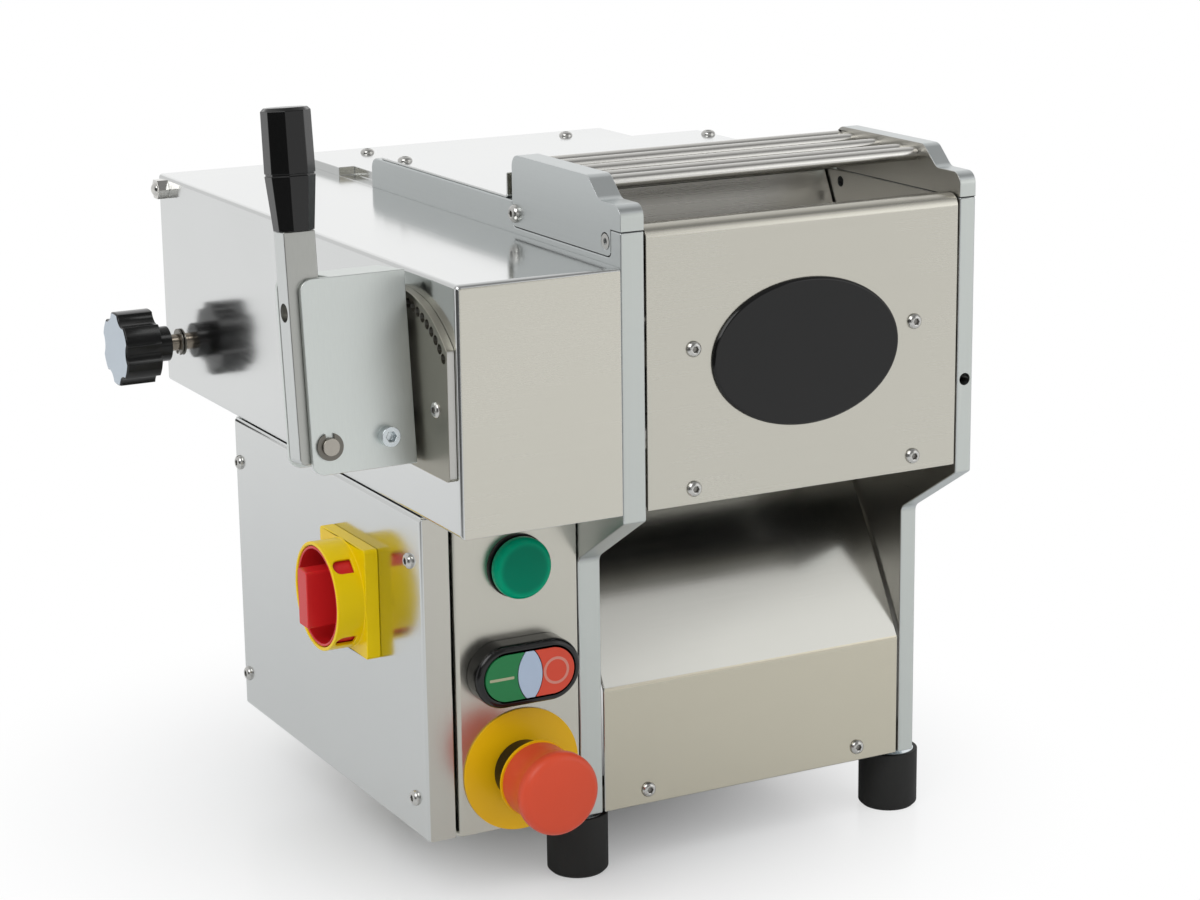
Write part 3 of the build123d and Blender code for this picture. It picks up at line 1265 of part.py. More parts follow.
# Lever bracket: a channel whose closed side faces the sector, half closed at the top
BRACKET_MOUTH = LEVER_BAR_W - LEVER_BAR_OUT + BRACKET_TOP_GAP
PIN_SLOT_W = 2 * (INDEX_NOSE_R + 2 * PLAY)
with BuildPart() as lever_bracket:
    with BuildSketch(LEVER.offset(BRACKET_REAR)) as bracket_face:
        with Locations((BRACKET_LEFT, -BRACKET_BELOW)):
            Rectangle(BRACKET_W, BRACKET_BELOW + BRACKET_ABOVE, align=(Align.MIN, Align.MIN))
        fillet(bracket_face.vertices().group_by(Axis.X)[0], BRACKET_CORNER)
    extrude(amount=BRACKET_D)
    with BuildSketch(LEVER.offset(BRACKET_REAR + BRACKET_T)):
        with Locations((BRACKET_LEFT, -BRACKET_BELOW)):
            Rectangle(
                BRACKET_W - BRACKET_T,
                BRACKET_BELOW + BRACKET_ABOVE - BRACKET_T,
                align=(Align.MIN, Align.MIN),
            )
            Rectangle(
                BRACKET_MOUTH,
                BRACKET_BELOW + BRACKET_ABOVE,
                align=(Align.MIN, Align.MIN),
            )
    extrude(amount=BRACKET_D - 2 * BRACKET_T, mode=Mode.SUBTRACT)
    with BuildSketch(LEVER.offset(BRACKET_REAR)):
        with Locations((PIVOT_X, -PIVOT_DROP)):
            Circle(PIVOT_R + FIT)
    extrude(amount=BRACKET_D, mode=Mode.SUBTRACT)
    # hub block welded inside, bored for the eccentric shaft
    with BuildSketch(LEVER.offset(BRACKET_REAR + BRACKET_T)):
        with Locations((HUB_RIGHT, 0)):
            Rectangle(HUB_W, HUB_H, align=(Align.MAX, Align.CENTER))
    extrude(amount=BRACKET_D - 2 * BRACKET_T)
    with BuildSketch(side(BRACKET_RIGHT)):
        with Locations(ECC_AT):
            Circle(ECC_SHAFT_R + FIT)
    extrude(amount=-BRACKET_T - HUB_W, mode=Mode.SUBTRACT)
    with BuildSketch(LEVER.offset(BRACKET_FRONT)):
        with Locations((CAP_SCREW_X, 0)):
            Circle(CAP_SCREW_R + HOLE_PLAY)
    extrude(amount=-BRACKET_FRONT, mode=Mode.SUBTRACT)
    # slot for the index pin's nose, which rises as the bar is drawn out
    slot_at = LEVER.from_local_coords((BRACKET_RIGHT, INDEX_UP + PIN_LIFT / 2, LEVER_BAR_MID))
    with BuildSketch(Plane(slot_at, x_dir=LEVER.y_dir, z_dir=(1, 0, 0))):
        SlotOverall(PIN_SLOT_W + PIN_LIFT, PIN_SLOT_W)
    extrude(amount=-BRACKET_T, mode=Mode.SUBTRACT)
lever_bracket.part.label = "lever_bracket"
export_step(lever_bracket.part, "parts/lever_bracket.step")

with BuildPart() as bracket_cap_screw:
    with BuildSketch(LEVER.offset(BRACKET_FRONT)):
        with Locations((CAP_SCREW_X, 0)):
            Circle(CAP_SCREW_HEAD_R)
            RegularPolygon(CAP_SCREW_R, 6, mode=Mode.SUBTRACT)
    extrude(amount=CAP_SCREW_HEAD_H)
    with BuildSketch(LEVER.offset(BRACKET_FRONT)):
        with Locations((CAP_SCREW_X, 0)):
            Circle(CAP_SCREW_HEAD_R)
    extrude(amount=CAP_SCREW_HEAD_H / 3)
    with BuildSketch(LEVER.offset(BRACKET_FRONT)):
        with Locations((CAP_SCREW_X, 0)):
            Circle(CAP_SCREW_R)
    extrude(amount=-BRACKET_FRONT)
bracket_cap_screw.part.label = "bracket_cap_screw"
export_step(bracket_cap_screw.part, "parts/bracket_cap_screw.step")

# Pivot pin across the bracket, held by a clip at each end
CLIP_FRONTS = (BRACKET_FRONT + PLAY / 2, BRACKET_REAR - PLAY / 2 - CLIP_T)
with BuildPart() as pivot_pin:
    with BuildSketch(LEVER.offset(BRACKET_REAR - PIVOT_PAST)):
        with Locations((PIVOT_X, -PIVOT_DROP)):
            Circle(PIVOT_R)
    extrude(amount=BRACKET_D + 2 * PIVOT_PAST)
    for level in CLIP_FRONTS:
        with BuildSketch(LEVER.offset(level)):
            with Locations((PIVOT_X, -PIVOT_DROP)):
                Circle(PIVOT_R)
                Circle(PIVOT_R - ADJUSTER_GROOVE, mode=Mode.SUBTRACT)
        extrude(amount=CLIP_T, mode=Mode.SUBTRACT)
pivot_pin.part.label = "pivot_pin"
export_step(pivot_pin.part, "parts/pivot_pin.step")

with BuildPart() as pivot_clips:
    for level in CLIP_FRONTS:
        with BuildSketch(LEVER.offset(level)):
            with Locations((PIVOT_X, -PIVOT_DROP)):
                Circle(CLIP_R)
                Circle(PIVOT_R - ADJUSTER_GROOVE + FIT, mode=Mode.SUBTRACT)
            with Locations((PIVOT_X, -PIVOT_DROP + CLIP_R)):
                Rectangle(CLIP_SLOT, CLIP_R, mode=Mode.SUBTRACT)
        extrude(amount=CLIP_T)
pivot_clips.part.label = "pivot_clips"
export_step(pivot_clips.part, "parts/pivot_clips.step")

# Lever bar: wide at its pivot, narrow at the handle
with BuildPart() as lever_bar:
    with BuildSketch(LEVER.offset(LEVER_BAR_BACK)) as bar_face:
        with BuildLine():
            Polyline(
                (LEVER_BAR_LEFT, -LEVER_BAR_BELOW),
                (LEVER_BAR_LEFT + LEVER_BAR_FOOT_W, -LEVER_BAR_BELOW),
                (LEVER_BAR_LEFT + LEVER_BAR_FOOT_W, LEVER_BAR_BELOW),
                (LEVER_BAR_LEFT + LEVER_BAR_W, LEVER_BAR_WAIST),
                (LEVER_BAR_LEFT + LEVER_BAR_W, LEVER_BAR_TOP),
                (LEVER_BAR_LEFT, LEVER_BAR_TOP),
                close=True,
            )
        make_face()
        fillet(bar_face.vertices().group_by(Axis.Y)[0], LEVER_BAR_CORNER)
        with Locations((PIVOT_X, -PIVOT_DROP)):
            Circle(PIVOT_R + FIT, mode=Mode.SUBTRACT)
    extrude(amount=LEVER_BAR_T)
    with BuildSketch(side(LEVER_BAR_LEFT)):
        with Locations(ECC_AT):
            with PolarLocations(INDEX_R, 1, start_angle=INDEX_FIRST):
                Circle(INDEX_PIN_R + FIT)
    extrude(amount=LEVER_BAR_FOOT_W, mode=Mode.SUBTRACT)
    with BuildSketch(Plane(LEVER.from_local_coords((HANDLE_X, LEVER_BAR_TOP, LEVER_BAR_MID)),
                           x_dir=(1, 0, 0), z_dir=LEVER.y_dir)):
        Circle(HANDLE_STUD_R + FIT)
    extrude(amount=-HANDLE_STUD_L, mode=Mode.SUBTRACT)
lever_bar.part.label = "lever_bar"
export_step(lever_bar.part, "parts/lever_bar.step")

# Index pin through the bar, its nose at the sector's first hole
PIN_LEFT = LEVER_BAR_LEFT + INDEX_PIN_SUNK
PIN_STEP = PIN_END - INDEX_NOSE_L
with BuildPart() as index_pin:
    with BuildSketch(side(PIN_LEFT)):
        with Locations(ECC_AT):
            with PolarLocations(INDEX_R, 1, start_angle=INDEX_FIRST):
                Circle(INDEX_PIN_R)
    extrude(amount=PIN_STEP - PIN_LEFT)
    with BuildSketch(side(PIN_STEP)):
        with Locations(ECC_AT):
            with PolarLocations(INDEX_R, 1, start_angle=INDEX_FIRST):
                Circle(INDEX_NOSE_R)
    extrude(amount=INDEX_NOSE_L)
index_pin.part.label = "index_pin"
export_step(index_pin.part, "parts/index_pin.step")


# Handle: eight-sided grip in two tapers with a parting groove
def handle_level(up, flats):
    """Eight-sided section of the handle at a height up the lever."""
    at = LEVER.from_local_coords((HANDLE_X, LEVER_BAR_TOP + up, LEVER_BAR_MID))
    with BuildSketch(Plane(at, x_dir=(1, 0, 0), z_dir=LEVER.y_dir)) as section:
        RegularPolygon(flats / 2, 8, major_radius=False, rotation=180 / 8)
    return section.sketch


HANDLE_L = HANDLE_LOW_L + HANDLE_HIGH_L
with BuildPart() as lever_handle:
    loft([handle_level(0, HANDLE_LOW), handle_level(HANDLE_LOW_L, HANDLE_WIDE)], ruled=True)
    loft(
        [
            handle_level(HANDLE_LOW_L, HANDLE_WIDE - HANDLE_GROOVE),
            handle_level(HANDLE_LOW_L + HANDLE_GROOVE, HANDLE_WIDE - HANDLE_GROOVE),
        ],
        ruled=True,
    )
    loft(
        [
            handle_level(HANDLE_LOW_L + HANDLE_GROOVE, HANDLE_WIDE),
            handle_level(HANDLE_L - HANDLE_EDGE, HANDLE_HIGH),
            handle_level(HANDLE_L, HANDLE_HIGH - 2 * HANDLE_EDGE),
        ],
        ruled=True,
    )
    stud_at = LEVER.from_local_coords((HANDLE_X, LEVER_BAR_TOP, LEVER_BAR_MID))
    with BuildSketch(Plane(stud_at, x_dir=(1, 0, 0), z_dir=LEVER.y_dir)):
        Circle(HANDLE_STUD_R)
    extrude(amount=-HANDLE_STUD_L)
lever_handle.part.label = "lever_handle"
export_step(lever_handle.part, "parts/lever_handle.step")

# Return spring round the pivot pin, behind the bar, as one wire in quarter-turn arcs
SPRING_BACK = BRACKET_REAR + BRACKET_T + PLAY / 2 + SPRING_WIRE_R


def spring_point(quarter):
    """Point on the spring's centre line after a number of quarter turns."""
    turn = radians(90 * quarter)
    return LEVER.from_local_coords((
        PIVOT_X + SPRING_R * cos(turn),
        -PIVOT_DROP + SPRING_R * sin(turn),
        SPRING_BACK + SPRING_PITCH * quarter / 4,
    ))


with BuildPart() as lever_spring:
    with BuildLine() as coil:
        for quarter in range(4 * SPRING_TURNS):
            ThreePointArc(
                spring_point(quarter), spring_point(quarter + 0.5), spring_point(quarter + 1)
            )
    with BuildSketch(Plane(coil.wires()[0] @ 0, z_dir=coil.wires()[0] % 0)):
        Circle(SPRING_WIRE_R)
    sweep()
lever_spring.part.label = "lever_spring"
export_step(lever_spring.part, "parts/lever_spring.step")
WIRE_STEPS = SPRING_STEPS * SPRING_TURNS
wire_points = [coil.wires()[0] @ (step / WIRE_STEPS) for step in range(WIRE_STEPS + 1)]
least = min(
    (a - b).length
    for step, a in enumerate(wire_points)
    for b in wire_points[step + SPRING_STEPS // 2:]
)
print("lever spring, least gap of the wire to itself:", round(least - 2 * SPRING_WIRE_R, 2))

# Control box: front wall with the devices, turned back at the left round the lid's opening
with BuildPart() as control_box:
    with BuildSketch(front(Y_LOW)):
        with Locations((BOX_LEFT, BOX_BOTTOM)):
            Rectangle(BOX_W, BOX_TOP - BOX_BOTTOM, align=(Align.MIN, Align.MIN))
    extrude(amount=-BOX_DEPTH)
    fillet(control_box.edges().filter_by(Axis.Z).sort_by(Axis.X)[:2], BOX_BEND)
    offset(amount=-SHEET, openings=control_box.faces().sort_by(Axis.X)[-1], kind=Kind.INTERSECTION)
    with BuildSketch(side(BOX_LEFT)):
        with Locations((Y_LOW + BOX_DEPTH / 2, (BOX_BOTTOM + BOX_TOP) / 2)):
            Rectangle(BOX_DEPTH - 2 * BOX_LIP, BOX_TOP - BOX_BOTTOM - 2 * BOX_LIP)
    extrude(amount=SHEET, mode=Mode.SUBTRACT)
    with BuildSketch(front(Y_LOW)):
        with Locations(*[(DEVICE_X, z) for z in (ESTOP_Z, BUTTON_Z, PILOT_Z)]):
            Circle(DEVICE_NECK_R + HOLE_PLAY)
    extrude(amount=-SHEET, mode=Mode.SUBTRACT)
    # tapped pillars that hold the side cover off the box
    with BuildSketch(side(LID_LEFT + SHEET)):
        with Locations(*LID_SCREWS):
            Circle(PILLAR_R)
    extrude(amount=BOX_LEFT - LID_LEFT - SHEET)
    with BuildSketch(side(LID_LEFT + SHEET)):
        with Locations(*LID_SCREWS):
            Circle(SCREW_R + FIT)
    extrude(amount=SCREW_L, mode=Mode.SUBTRACT)
control_box.part.label = "control_box"
export_step(control_box.part, "parts/control_box.step")

# Side cover: shallow pan over the opening of the control box
with BuildPart() as side_cover:
    with BuildSketch(side(LID_LEFT)):
        with Locations((LID_FRONT, LID_BOTTOM)):
            Rectangle(LID_L, LID_TOP - LID_BOTTOM, align=(Align.MIN, Align.MIN))
    extrude(amount=LID_T)
    fillet(side_cover.faces().sort_by(Axis.X)[0].edges(), LID_BEND)
    with BuildSketch(side(LID_LEFT + SHEET)):
        with Locations((LID_FRONT + SHEET, LID_BOTTOM + SHEET)):
            Rectangle(
                LID_L - 2 * SHEET,
                LID_TOP - LID_BOTTOM - 2 * SHEET,
                align=(Align.MIN, Align.MIN),
            )
    extrude(amount=LID_T - SHEET, mode=Mode.SUBTRACT)
    with BuildSketch(side(LID_LEFT)):
        with Locations(*LID_SCREWS):
            Circle(SCREW_R + HOLE_PLAY)
        with Locations(SWITCH_AT):
            Circle(DEVICE_NECK_R + HOLE_PLAY)
    extrude(amount=SHEET, mode=Mode.SUBTRACT)
side_cover.part.label = "side_cover"
export_step(side_cover.part, "parts/side_cover.step")

# Pilot light
def neck(z, back):
    """Threaded neck of one device, through the panel from back at height z."""
    with Locations(facing(DEVICE_X, back, z)):
        Cylinder(
            DEVICE_NECK_R,
            Y_LOW - back + DEVICE_NECK_L,
            align=(Align.CENTER, Align.CENTER, Align.MAX),
        )


with BuildPart() as pilot_bezel:
    with BuildSketch(front(Y_LOW)):
        with Locations((DEVICE_X, PILOT_Z)):
            Circle(PILOT_BEZEL_R)
    extrude(amount=PILOT_BEZEL_T)
    neck(PILOT_Z, Y_LOW)
pilot_bezel.part.label = "pilot_bezel"
export_step(pilot_bezel.part, "parts/pilot_bezel.step")

LENS_BACK = Y_LOW - PILOT_BEZEL_T
with BuildPart() as pilot_lens:
    with BuildSketch(Plane(origin=(DEVICE_X, LENS_BACK, PILOT_Z))):
        with BuildLine():
            Polyline((0, 0), (PILOT_LENS_R, 0), (PILOT_LENS_R, -PILOT_LENS_H))
            ThreePointArc(
                (PILOT_LENS_R, -PILOT_LENS_H),
                (PILOT_LENS_R / 2, -PILOT_LENS_H - mid_rise(PILOT_LENS_R, PILOT_DOME)),
                (0, -PILOT_LENS_H - PILOT_DOME),
            )
            Line((0, -PILOT_LENS_H - PILOT_DOME), (0, 0))
        make_face()
    revolve(axis=Axis((DEVICE_X, LENS_BACK, PILOT_Z), (0, 1, 0)))
    lens_rims = pilot_lens.edges().filter_by(lambda edge: edge.is_closed).sort_by(Axis.Y)
    fillet(lens_rims[0], PILOT_EDGE)
pilot_lens.part.label = "pilot_lens"
export_step(pilot_lens.part, "parts/pilot_lens.step")

# Twin push button: bezel, green start half, red stop half and the lens between them
BEZEL_FACE = Y_LOW - BUTTON_BEZEL_T
BUTTON_FACE = BEZEL_FACE - BUTTON_PROUD
POCKET = BUTTON_T + BUTTON_TRAVEL + PLAY - BUTTON_PROUD
LENS_SAG = (LENS_W - LENS_END_W) / 2
LENS_R = (BUTTON_H ** 2 / 4 + LENS_SAG ** 2) / (2 * LENS_SAG)
with BuildPart() as button_bezel:
    with BuildSketch(front(Y_LOW)):
        with Locations((DEVICE_X, BUTTON_Z)):
            SlotOverall(BUTTON_BEZEL_L, BUTTON_BEZEL_H)
    extrude(amount=BUTTON_BEZEL_T)
    fillet(button_bezel.edges().group_by(Axis.Y)[0], BUTTON_BEZEL_EDGE)
    with BuildSketch(front(BEZEL_FACE)):
        with Locations((DEVICE_X, BUTTON_Z)):
            SlotOverall(BUTTON_L + 2 * PLAY, BUTTON_H + 2 * PLAY)
    extrude(amount=-POCKET, mode=Mode.SUBTRACT)
    neck(BUTTON_Z, Y_LOW)
button_bezel.part.label = "button_bezel"
export_step(button_bezel.part, "parts/button_bezel.step")


def button_half(hand):
    """One half of the twin button: hand is -1 for the left half and 1 for the right."""
    with BuildPart() as half:
        with BuildSketch(front(BUTTON_FACE)):
            with Locations((DEVICE_X, BUTTON_Z)):
                SlotOverall(BUTTON_L, BUTTON_H)
                with Locations((-hand * BUTTON_L / 2, 0)):
                    Rectangle(BUTTON_L, BUTTON_H, mode=Mode.SUBTRACT)
                with Locations((-hand * (LENS_R - LENS_W / 2), 0)):
                    Circle(LENS_R + PLAY, mode=Mode.SUBTRACT)
        extrude(amount=-BUTTON_T)
    return half


start_button = button_half(-1)
start_button.part.label = "start_button"
export_step(start_button.part, "parts/start_button.step")

stop_button = button_half(1)
stop_button.part.label = "stop_button"
export_step(stop_button.part, "parts/stop_button.step")

with BuildPart() as button_lens:
    with BuildSketch(front(BEZEL_FACE + POCKET)):
        with Locations((DEVICE_X - LENS_R + LENS_W / 2, BUTTON_Z)):
            Circle(LENS_R)
        with Locations((DEVICE_X + LENS_R - LENS_W / 2, BUTTON_Z)):
            Circle(LENS_R, mode=Mode.INTERSECT)
        with Locations((DEVICE_X, BUTTON_Z)):
            Rectangle(LENS_W, BUTTON_H, mode=Mode.INTERSECT)
    extrude(amount=POCKET + BUTTON_PROUD)
button_lens.part.label = "button_lens"
export_step(button_lens.part, "parts/button_lens.step")

# Emergency stop: legend disc, collar, stem and mushroom head
with BuildPart() as estop_legend:
    with BuildSketch(front(Y_LOW)):
        with Locations((DEVICE_X, ESTOP_Z)):
            Circle(LEGEND_R)
            Circle(DEVICE_NECK_R + HOLE_PLAY, mode=Mode.SUBTRACT)
    extrude(amount=LEGEND_T)
estop_legend.part.label = "estop_legend"
export_step(estop_legend.part, "parts/estop_legend.step")

COLLAR_BACK = Y_LOW - LEGEND_T
HEAD_BACK = Y_LOW - HEAD_STAND
COLLAR_T = HEAD_STAND - LEGEND_T - ESTOP_TRAVEL - PLAY
with BuildPart() as estop_collar:
    with BuildSketch(front(COLLAR_BACK)):
        with Locations((DEVICE_X, ESTOP_Z)):
            Circle(COLLAR_R)
    extrude(amount=COLLAR_T)
    neck(ESTOP_Z, COLLAR_BACK)
    with BuildSketch(front(COLLAR_BACK - COLLAR_T)):
        with Locations((DEVICE_X, ESTOP_Z)):
            Circle(STEM_R + FIT)
    extrude(amount=-STEM_L, mode=Mode.SUBTRACT)
estop_collar.part.label = "estop_collar"
export_step(estop_collar.part, "parts/estop_collar.step")

with BuildPart() as estop_stem:
    with BuildSketch(front(HEAD_BACK)):
        with Locations((DEVICE_X, ESTOP_Z)):
            Circle(STEM_R)
    extrude(amount=-STEM_L)
    with BuildSketch(front(HEAD_BACK)):
        with Locations((DEVICE_X, ESTOP_Z)):
            Circle(STEM_R)
    extrude(amount=HEAD_NECK_L)
estop_stem.part.label = "estop_stem"
export_step(estop_stem.part, "parts/estop_stem.step")

with BuildPart() as estop_head:
    with BuildSketch(Plane(origin=(DEVICE_X, HEAD_BACK, ESTOP_Z))):
        with BuildLine():
            Polyline(
                (STEM_R + FIT, -HEAD_NECK_L),
                (STEM_R + FIT, 0),
                (NECK_R, 0),
                (NECK_R, -HEAD_NECK_L),
            )
            TangentArc(
                (NECK_R, -HEAD_NECK_L),
                (HEAD_R, -HEAD_NECK_L - HEAD_FLARE_L),
                tangent=(0, -1),
            )
            Line((HEAD_R, -HEAD_NECK_L - HEAD_FLARE_L), (HEAD_R, -HEAD_L + HEAD_DOME))
            ThreePointArc(
                (HEAD_R, -HEAD_L + HEAD_DOME),
                (HEAD_R / 2, -HEAD_L + HEAD_DOME - mid_rise(HEAD_R, HEAD_DOME)),
                (0, -HEAD_L),
            )
            Polyline((0, -HEAD_L), (0, -HEAD_NECK_L - FIT), (STEM_R + FIT, -HEAD_NECK_L - FIT))
            Line((STEM_R + FIT, -HEAD_NECK_L - FIT), (STEM_R + FIT, -HEAD_NECK_L))
        make_face()
    revolve(axis=Axis((DEVICE_X, HEAD_BACK, ESTOP_Z), (0, 1, 0)))
    head_rims = estop_head.edges().filter_by(lambda edge: edge.is_closed).sort_by(Axis.Y)
    fillet(head_rims[0], HEAD_EDGE)
estop_head.part.label = "estop_head"
export_step(estop_head.part, "parts/estop_head.step")

# Contact blocks on the necks behind the panel
BLOCK_FRONT = Y_LOW + DEVICE_NECK_L
with BuildPart() as contact_blocks:
    with BuildSketch(front(BLOCK_FRONT)):
        with Locations(*[(DEVICE_X, z) for z in (ESTOP_Z, BUTTON_Z, PILOT_Z)]):
            Rectangle(BLOCK_W, BLOCK_H)
    extrude(amount=-BLOCK_L)
contact_blocks.part.label = "contact_blocks"
export_step(contact_blocks.part, "parts/contact_blocks.step")

# Main switch: plate and shroud in one, cupped handle, and the contact body behind the cover
SHROUD_IN = SHROUD_R - SHROUD_WALL
CUP_R = SHROUD_IN - PLAY
FLOOR_X = LID_LEFT - SWITCH_FLOOR_T
with BuildPart() as switch_shroud:
    with BuildSketch(leftward(LID_LEFT, SWITCH_AT)):
        RectangleRounded(SWITCH_SIDE, SWITCH_SIDE, SWITCH_FLOOR_T)
    extrude(amount=SWITCH_PLATE_T)
    with BuildSketch(leftward(SWITCH_FACE, SWITCH_AT)):
        Circle(SHROUD_R)
    extrude(amount=SHROUD_H)
    with BuildSketch(leftward(FLOOR_X, SWITCH_AT)):
        Circle(SHROUD_IN)
    extrude(amount=SWITCH_PLATE_T + SHROUD_H, mode=Mode.SUBTRACT)
    with BuildSketch(leftward(LID_LEFT, SWITCH_AT)):
        Circle(SWITCH_STEM_R + PLAY)
    extrude(amount=SWITCH_FLOOR_T, mode=Mode.SUBTRACT)
    # padlock windows through the shroud's wall
    for turn in WINDOW_TURNS:
        across = (0, -cos(radians(turn)), sin(radians(turn)))
        window_at = (SWITCH_FACE - WINDOW_OUT, *SWITCH_AT)
        with BuildSketch(Plane(window_at, x_dir=(-1, 0, 0), z_dir=across)):
            Rectangle(WINDOW_L - WINDOW_W / 2, WINDOW_W, align=(Align.MIN, Align.CENTER))
            with Locations((WINDOW_L - WINDOW_W / 2, 0)):
                Circle(WINDOW_W / 2)
        extrude(amount=SHROUD_R, both=True, mode=Mode.SUBTRACT)
switch_shroud.part.label = "switch_shroud"
export_step(switch_shroud.part, "parts/switch_shroud.step")

CUP_BACK = FLOOR_X - PLAY
with BuildPart() as switch_handle:
    with BuildSketch(leftward(CUP_BACK, SWITCH_AT)):
        Circle(CUP_R)
    extrude(amount=CUP_BACK - SHROUD_FACE - PLAY)
    with BuildSketch(leftward(CUP_BACK - CUP_FLOOR, SWITCH_AT)):
        Circle(CUP_R - CUP_WALL)
        RectangleRounded(GRIP_W, GRIP_L, GRIP_W / 8, mode=Mode.SUBTRACT)
    extrude(amount=SWITCH_PLATE_T + SHROUD_H, mode=Mode.SUBTRACT)
    with BuildSketch(leftward(CUP_BACK, SWITCH_AT)):
        RectangleRounded(GRIP_W, GRIP_L, GRIP_W / 8)
    extrude(amount=CUP_BACK - SHROUD_FACE + GRIP_PAST)
    with BuildSketch(leftward(CUP_BACK, SWITCH_AT)):
        Circle(SWITCH_STEM_R)
    extrude(amount=CUP_BACK - LID_LEFT - SHEET - DEVICE_NECK_L)
switch_handle.part.label = "switch_handle"
export_step(switch_handle.part, "parts/switch_handle.step")

with BuildPart() as switch_body:
    with BuildSketch(leftward(LID_LEFT + SHEET, SWITCH_AT)):
        Rectangle(SWITCH_BODY_W, SWITCH_BODY_W)
    extrude(amount=-SWITCH_BODY_L)
    with BuildSketch(leftward(LID_LEFT + SHEET, SWITCH_AT)):
        Circle(DEVICE_NECK_R)
    extrude(amount=SHEET)
    with BuildSketch(leftward(LID_LEFT, SWITCH_AT)):
        Circle(SWITCH_STEM_R + FIT)
    extrude(amount=-SHEET - DEVICE_NECK_L - PLAY, mode=Mode.SUBTRACT)
switch_body.part.label = "switch_body"
export_step(switch_body.part, "parts/switch_body.step")

# Machine screws with button heads: panel, chute, covers, side cover and sector
PANEL_SCREW_PLACES = [
    facing(X_MID + s * PANEL_SCREW_X, Y_FRONT, z) for s in (-1, 1) for z in PANEL_SCREW_ZS
]
CHUTE_SCREW_PLACES = [facing(X_MID + s * PANEL_SCREW_X, Y_LOW, CHUTE_SCREW_Z) for s in (-1, 1)]
COVER_SCREW_PLACES = [
    Plane((x, COVER_SCREW_Y, PLATE_TOP + COVER_T)) for x in (LEFT_MIDDLE, RIGHT_MIDDLE)
]
REAR_SCREW_PLACES = [Plane((X_MID + s * REAR_SCREW_X, REAR_SCREW_Y, REAR_TOP)) for s in (-1, 1)]
LID_SCREW_PLACES = [leftward(LID_LEFT, at) for at in LID_SCREWS]
SECTOR_SCREW_PLACES = [leftward(SECTOR_OUT, at) for at in SECTOR_SCREWS]
with BuildPart() as machine_screws:
    for places, head_h, length in (
        (PANEL_SCREW_PLACES, SCREW_HEAD_H, SCREW_L),
        (CHUTE_SCREW_PLACES, SCREW_HEAD_H, SCREW_L),
        (COVER_SCREW_PLACES, SCREW_HEAD_H, SCREW_L),
        (REAR_SCREW_PLACES, SCREW_HEAD_H, SCREW_L),
        (LID_SCREW_PLACES, SCREW_HEAD_H, SCREW_L),
        (SECTOR_SCREW_PLACES, SECTOR_HEAD_H, SECTOR_SCREW_L),
    ):
        add(screws(places, SCREW_HEAD_R, head_h, SCREW_R, length).part)
machine_screws.part.label = "machine_screws"
export_step(machine_screws.part, "parts/machine_screws.step")

print("roller shift over the lever's travel:", round(ROLL_SHIFT, 3))
print("width over all:", round(LEVER_REACH + RIGHT_REACH, 2))
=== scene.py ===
import json
import math

import bmesh
import bpy
from mathutils import Matrix, Vector

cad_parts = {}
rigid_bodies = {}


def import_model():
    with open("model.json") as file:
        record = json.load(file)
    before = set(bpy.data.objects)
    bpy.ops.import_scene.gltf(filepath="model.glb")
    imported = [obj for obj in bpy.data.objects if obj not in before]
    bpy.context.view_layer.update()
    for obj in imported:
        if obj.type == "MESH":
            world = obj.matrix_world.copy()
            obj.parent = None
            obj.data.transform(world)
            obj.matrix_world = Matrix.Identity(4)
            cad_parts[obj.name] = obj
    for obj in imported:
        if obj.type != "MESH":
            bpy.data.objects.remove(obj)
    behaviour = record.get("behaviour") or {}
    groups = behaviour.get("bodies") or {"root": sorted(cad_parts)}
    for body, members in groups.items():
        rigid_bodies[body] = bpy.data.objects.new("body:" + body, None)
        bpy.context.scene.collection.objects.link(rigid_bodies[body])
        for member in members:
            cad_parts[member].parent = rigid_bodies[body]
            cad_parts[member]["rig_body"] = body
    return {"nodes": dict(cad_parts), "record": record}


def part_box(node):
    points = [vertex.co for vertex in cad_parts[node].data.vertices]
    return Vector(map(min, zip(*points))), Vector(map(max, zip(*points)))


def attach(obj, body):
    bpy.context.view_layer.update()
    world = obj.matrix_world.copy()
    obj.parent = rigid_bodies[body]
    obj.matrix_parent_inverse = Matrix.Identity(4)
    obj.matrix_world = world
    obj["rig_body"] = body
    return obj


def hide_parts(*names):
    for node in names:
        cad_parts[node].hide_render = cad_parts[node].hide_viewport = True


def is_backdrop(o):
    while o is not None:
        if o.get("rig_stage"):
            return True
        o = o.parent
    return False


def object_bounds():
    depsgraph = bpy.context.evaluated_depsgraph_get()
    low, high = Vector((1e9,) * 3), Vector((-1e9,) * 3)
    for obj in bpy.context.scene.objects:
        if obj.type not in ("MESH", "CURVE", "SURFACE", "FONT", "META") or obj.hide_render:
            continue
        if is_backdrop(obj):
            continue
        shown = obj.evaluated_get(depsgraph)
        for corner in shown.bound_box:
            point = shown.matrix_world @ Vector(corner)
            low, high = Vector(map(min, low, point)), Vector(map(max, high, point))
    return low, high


bl_info = {
    "name": "Pasta sheeter finishes",
    "version": (1, 0, 0),
    "blender": (4, 5, 0),
    "location": "View3D > Sidebar > Sheeter",
    "description": "Edges, finishes, screws, control faces and studio for the pasta sheeter",
    "category": "Object",
}

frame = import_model()
CAD_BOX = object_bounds()
NODES = frame["nodes"]

FRONT = Vector((0.0, -1.0, 0.0))
ACROSS = Vector((1.0, 0.0, 0.0))

# Tolerances of the meshes, in metres and radians
MERGE = 2e-6
FLAT = math.radians(0.4)
CREASE = math.radians(35)
SMOOTH = math.radians(42)

# How squarely a face looks in a direction: the least part of its normal that lies that way
FRONTING = 0.92
SQUARE = 0.9
STEEP = 0.7
HALFWAY = 0.5
LEANING = 0.3

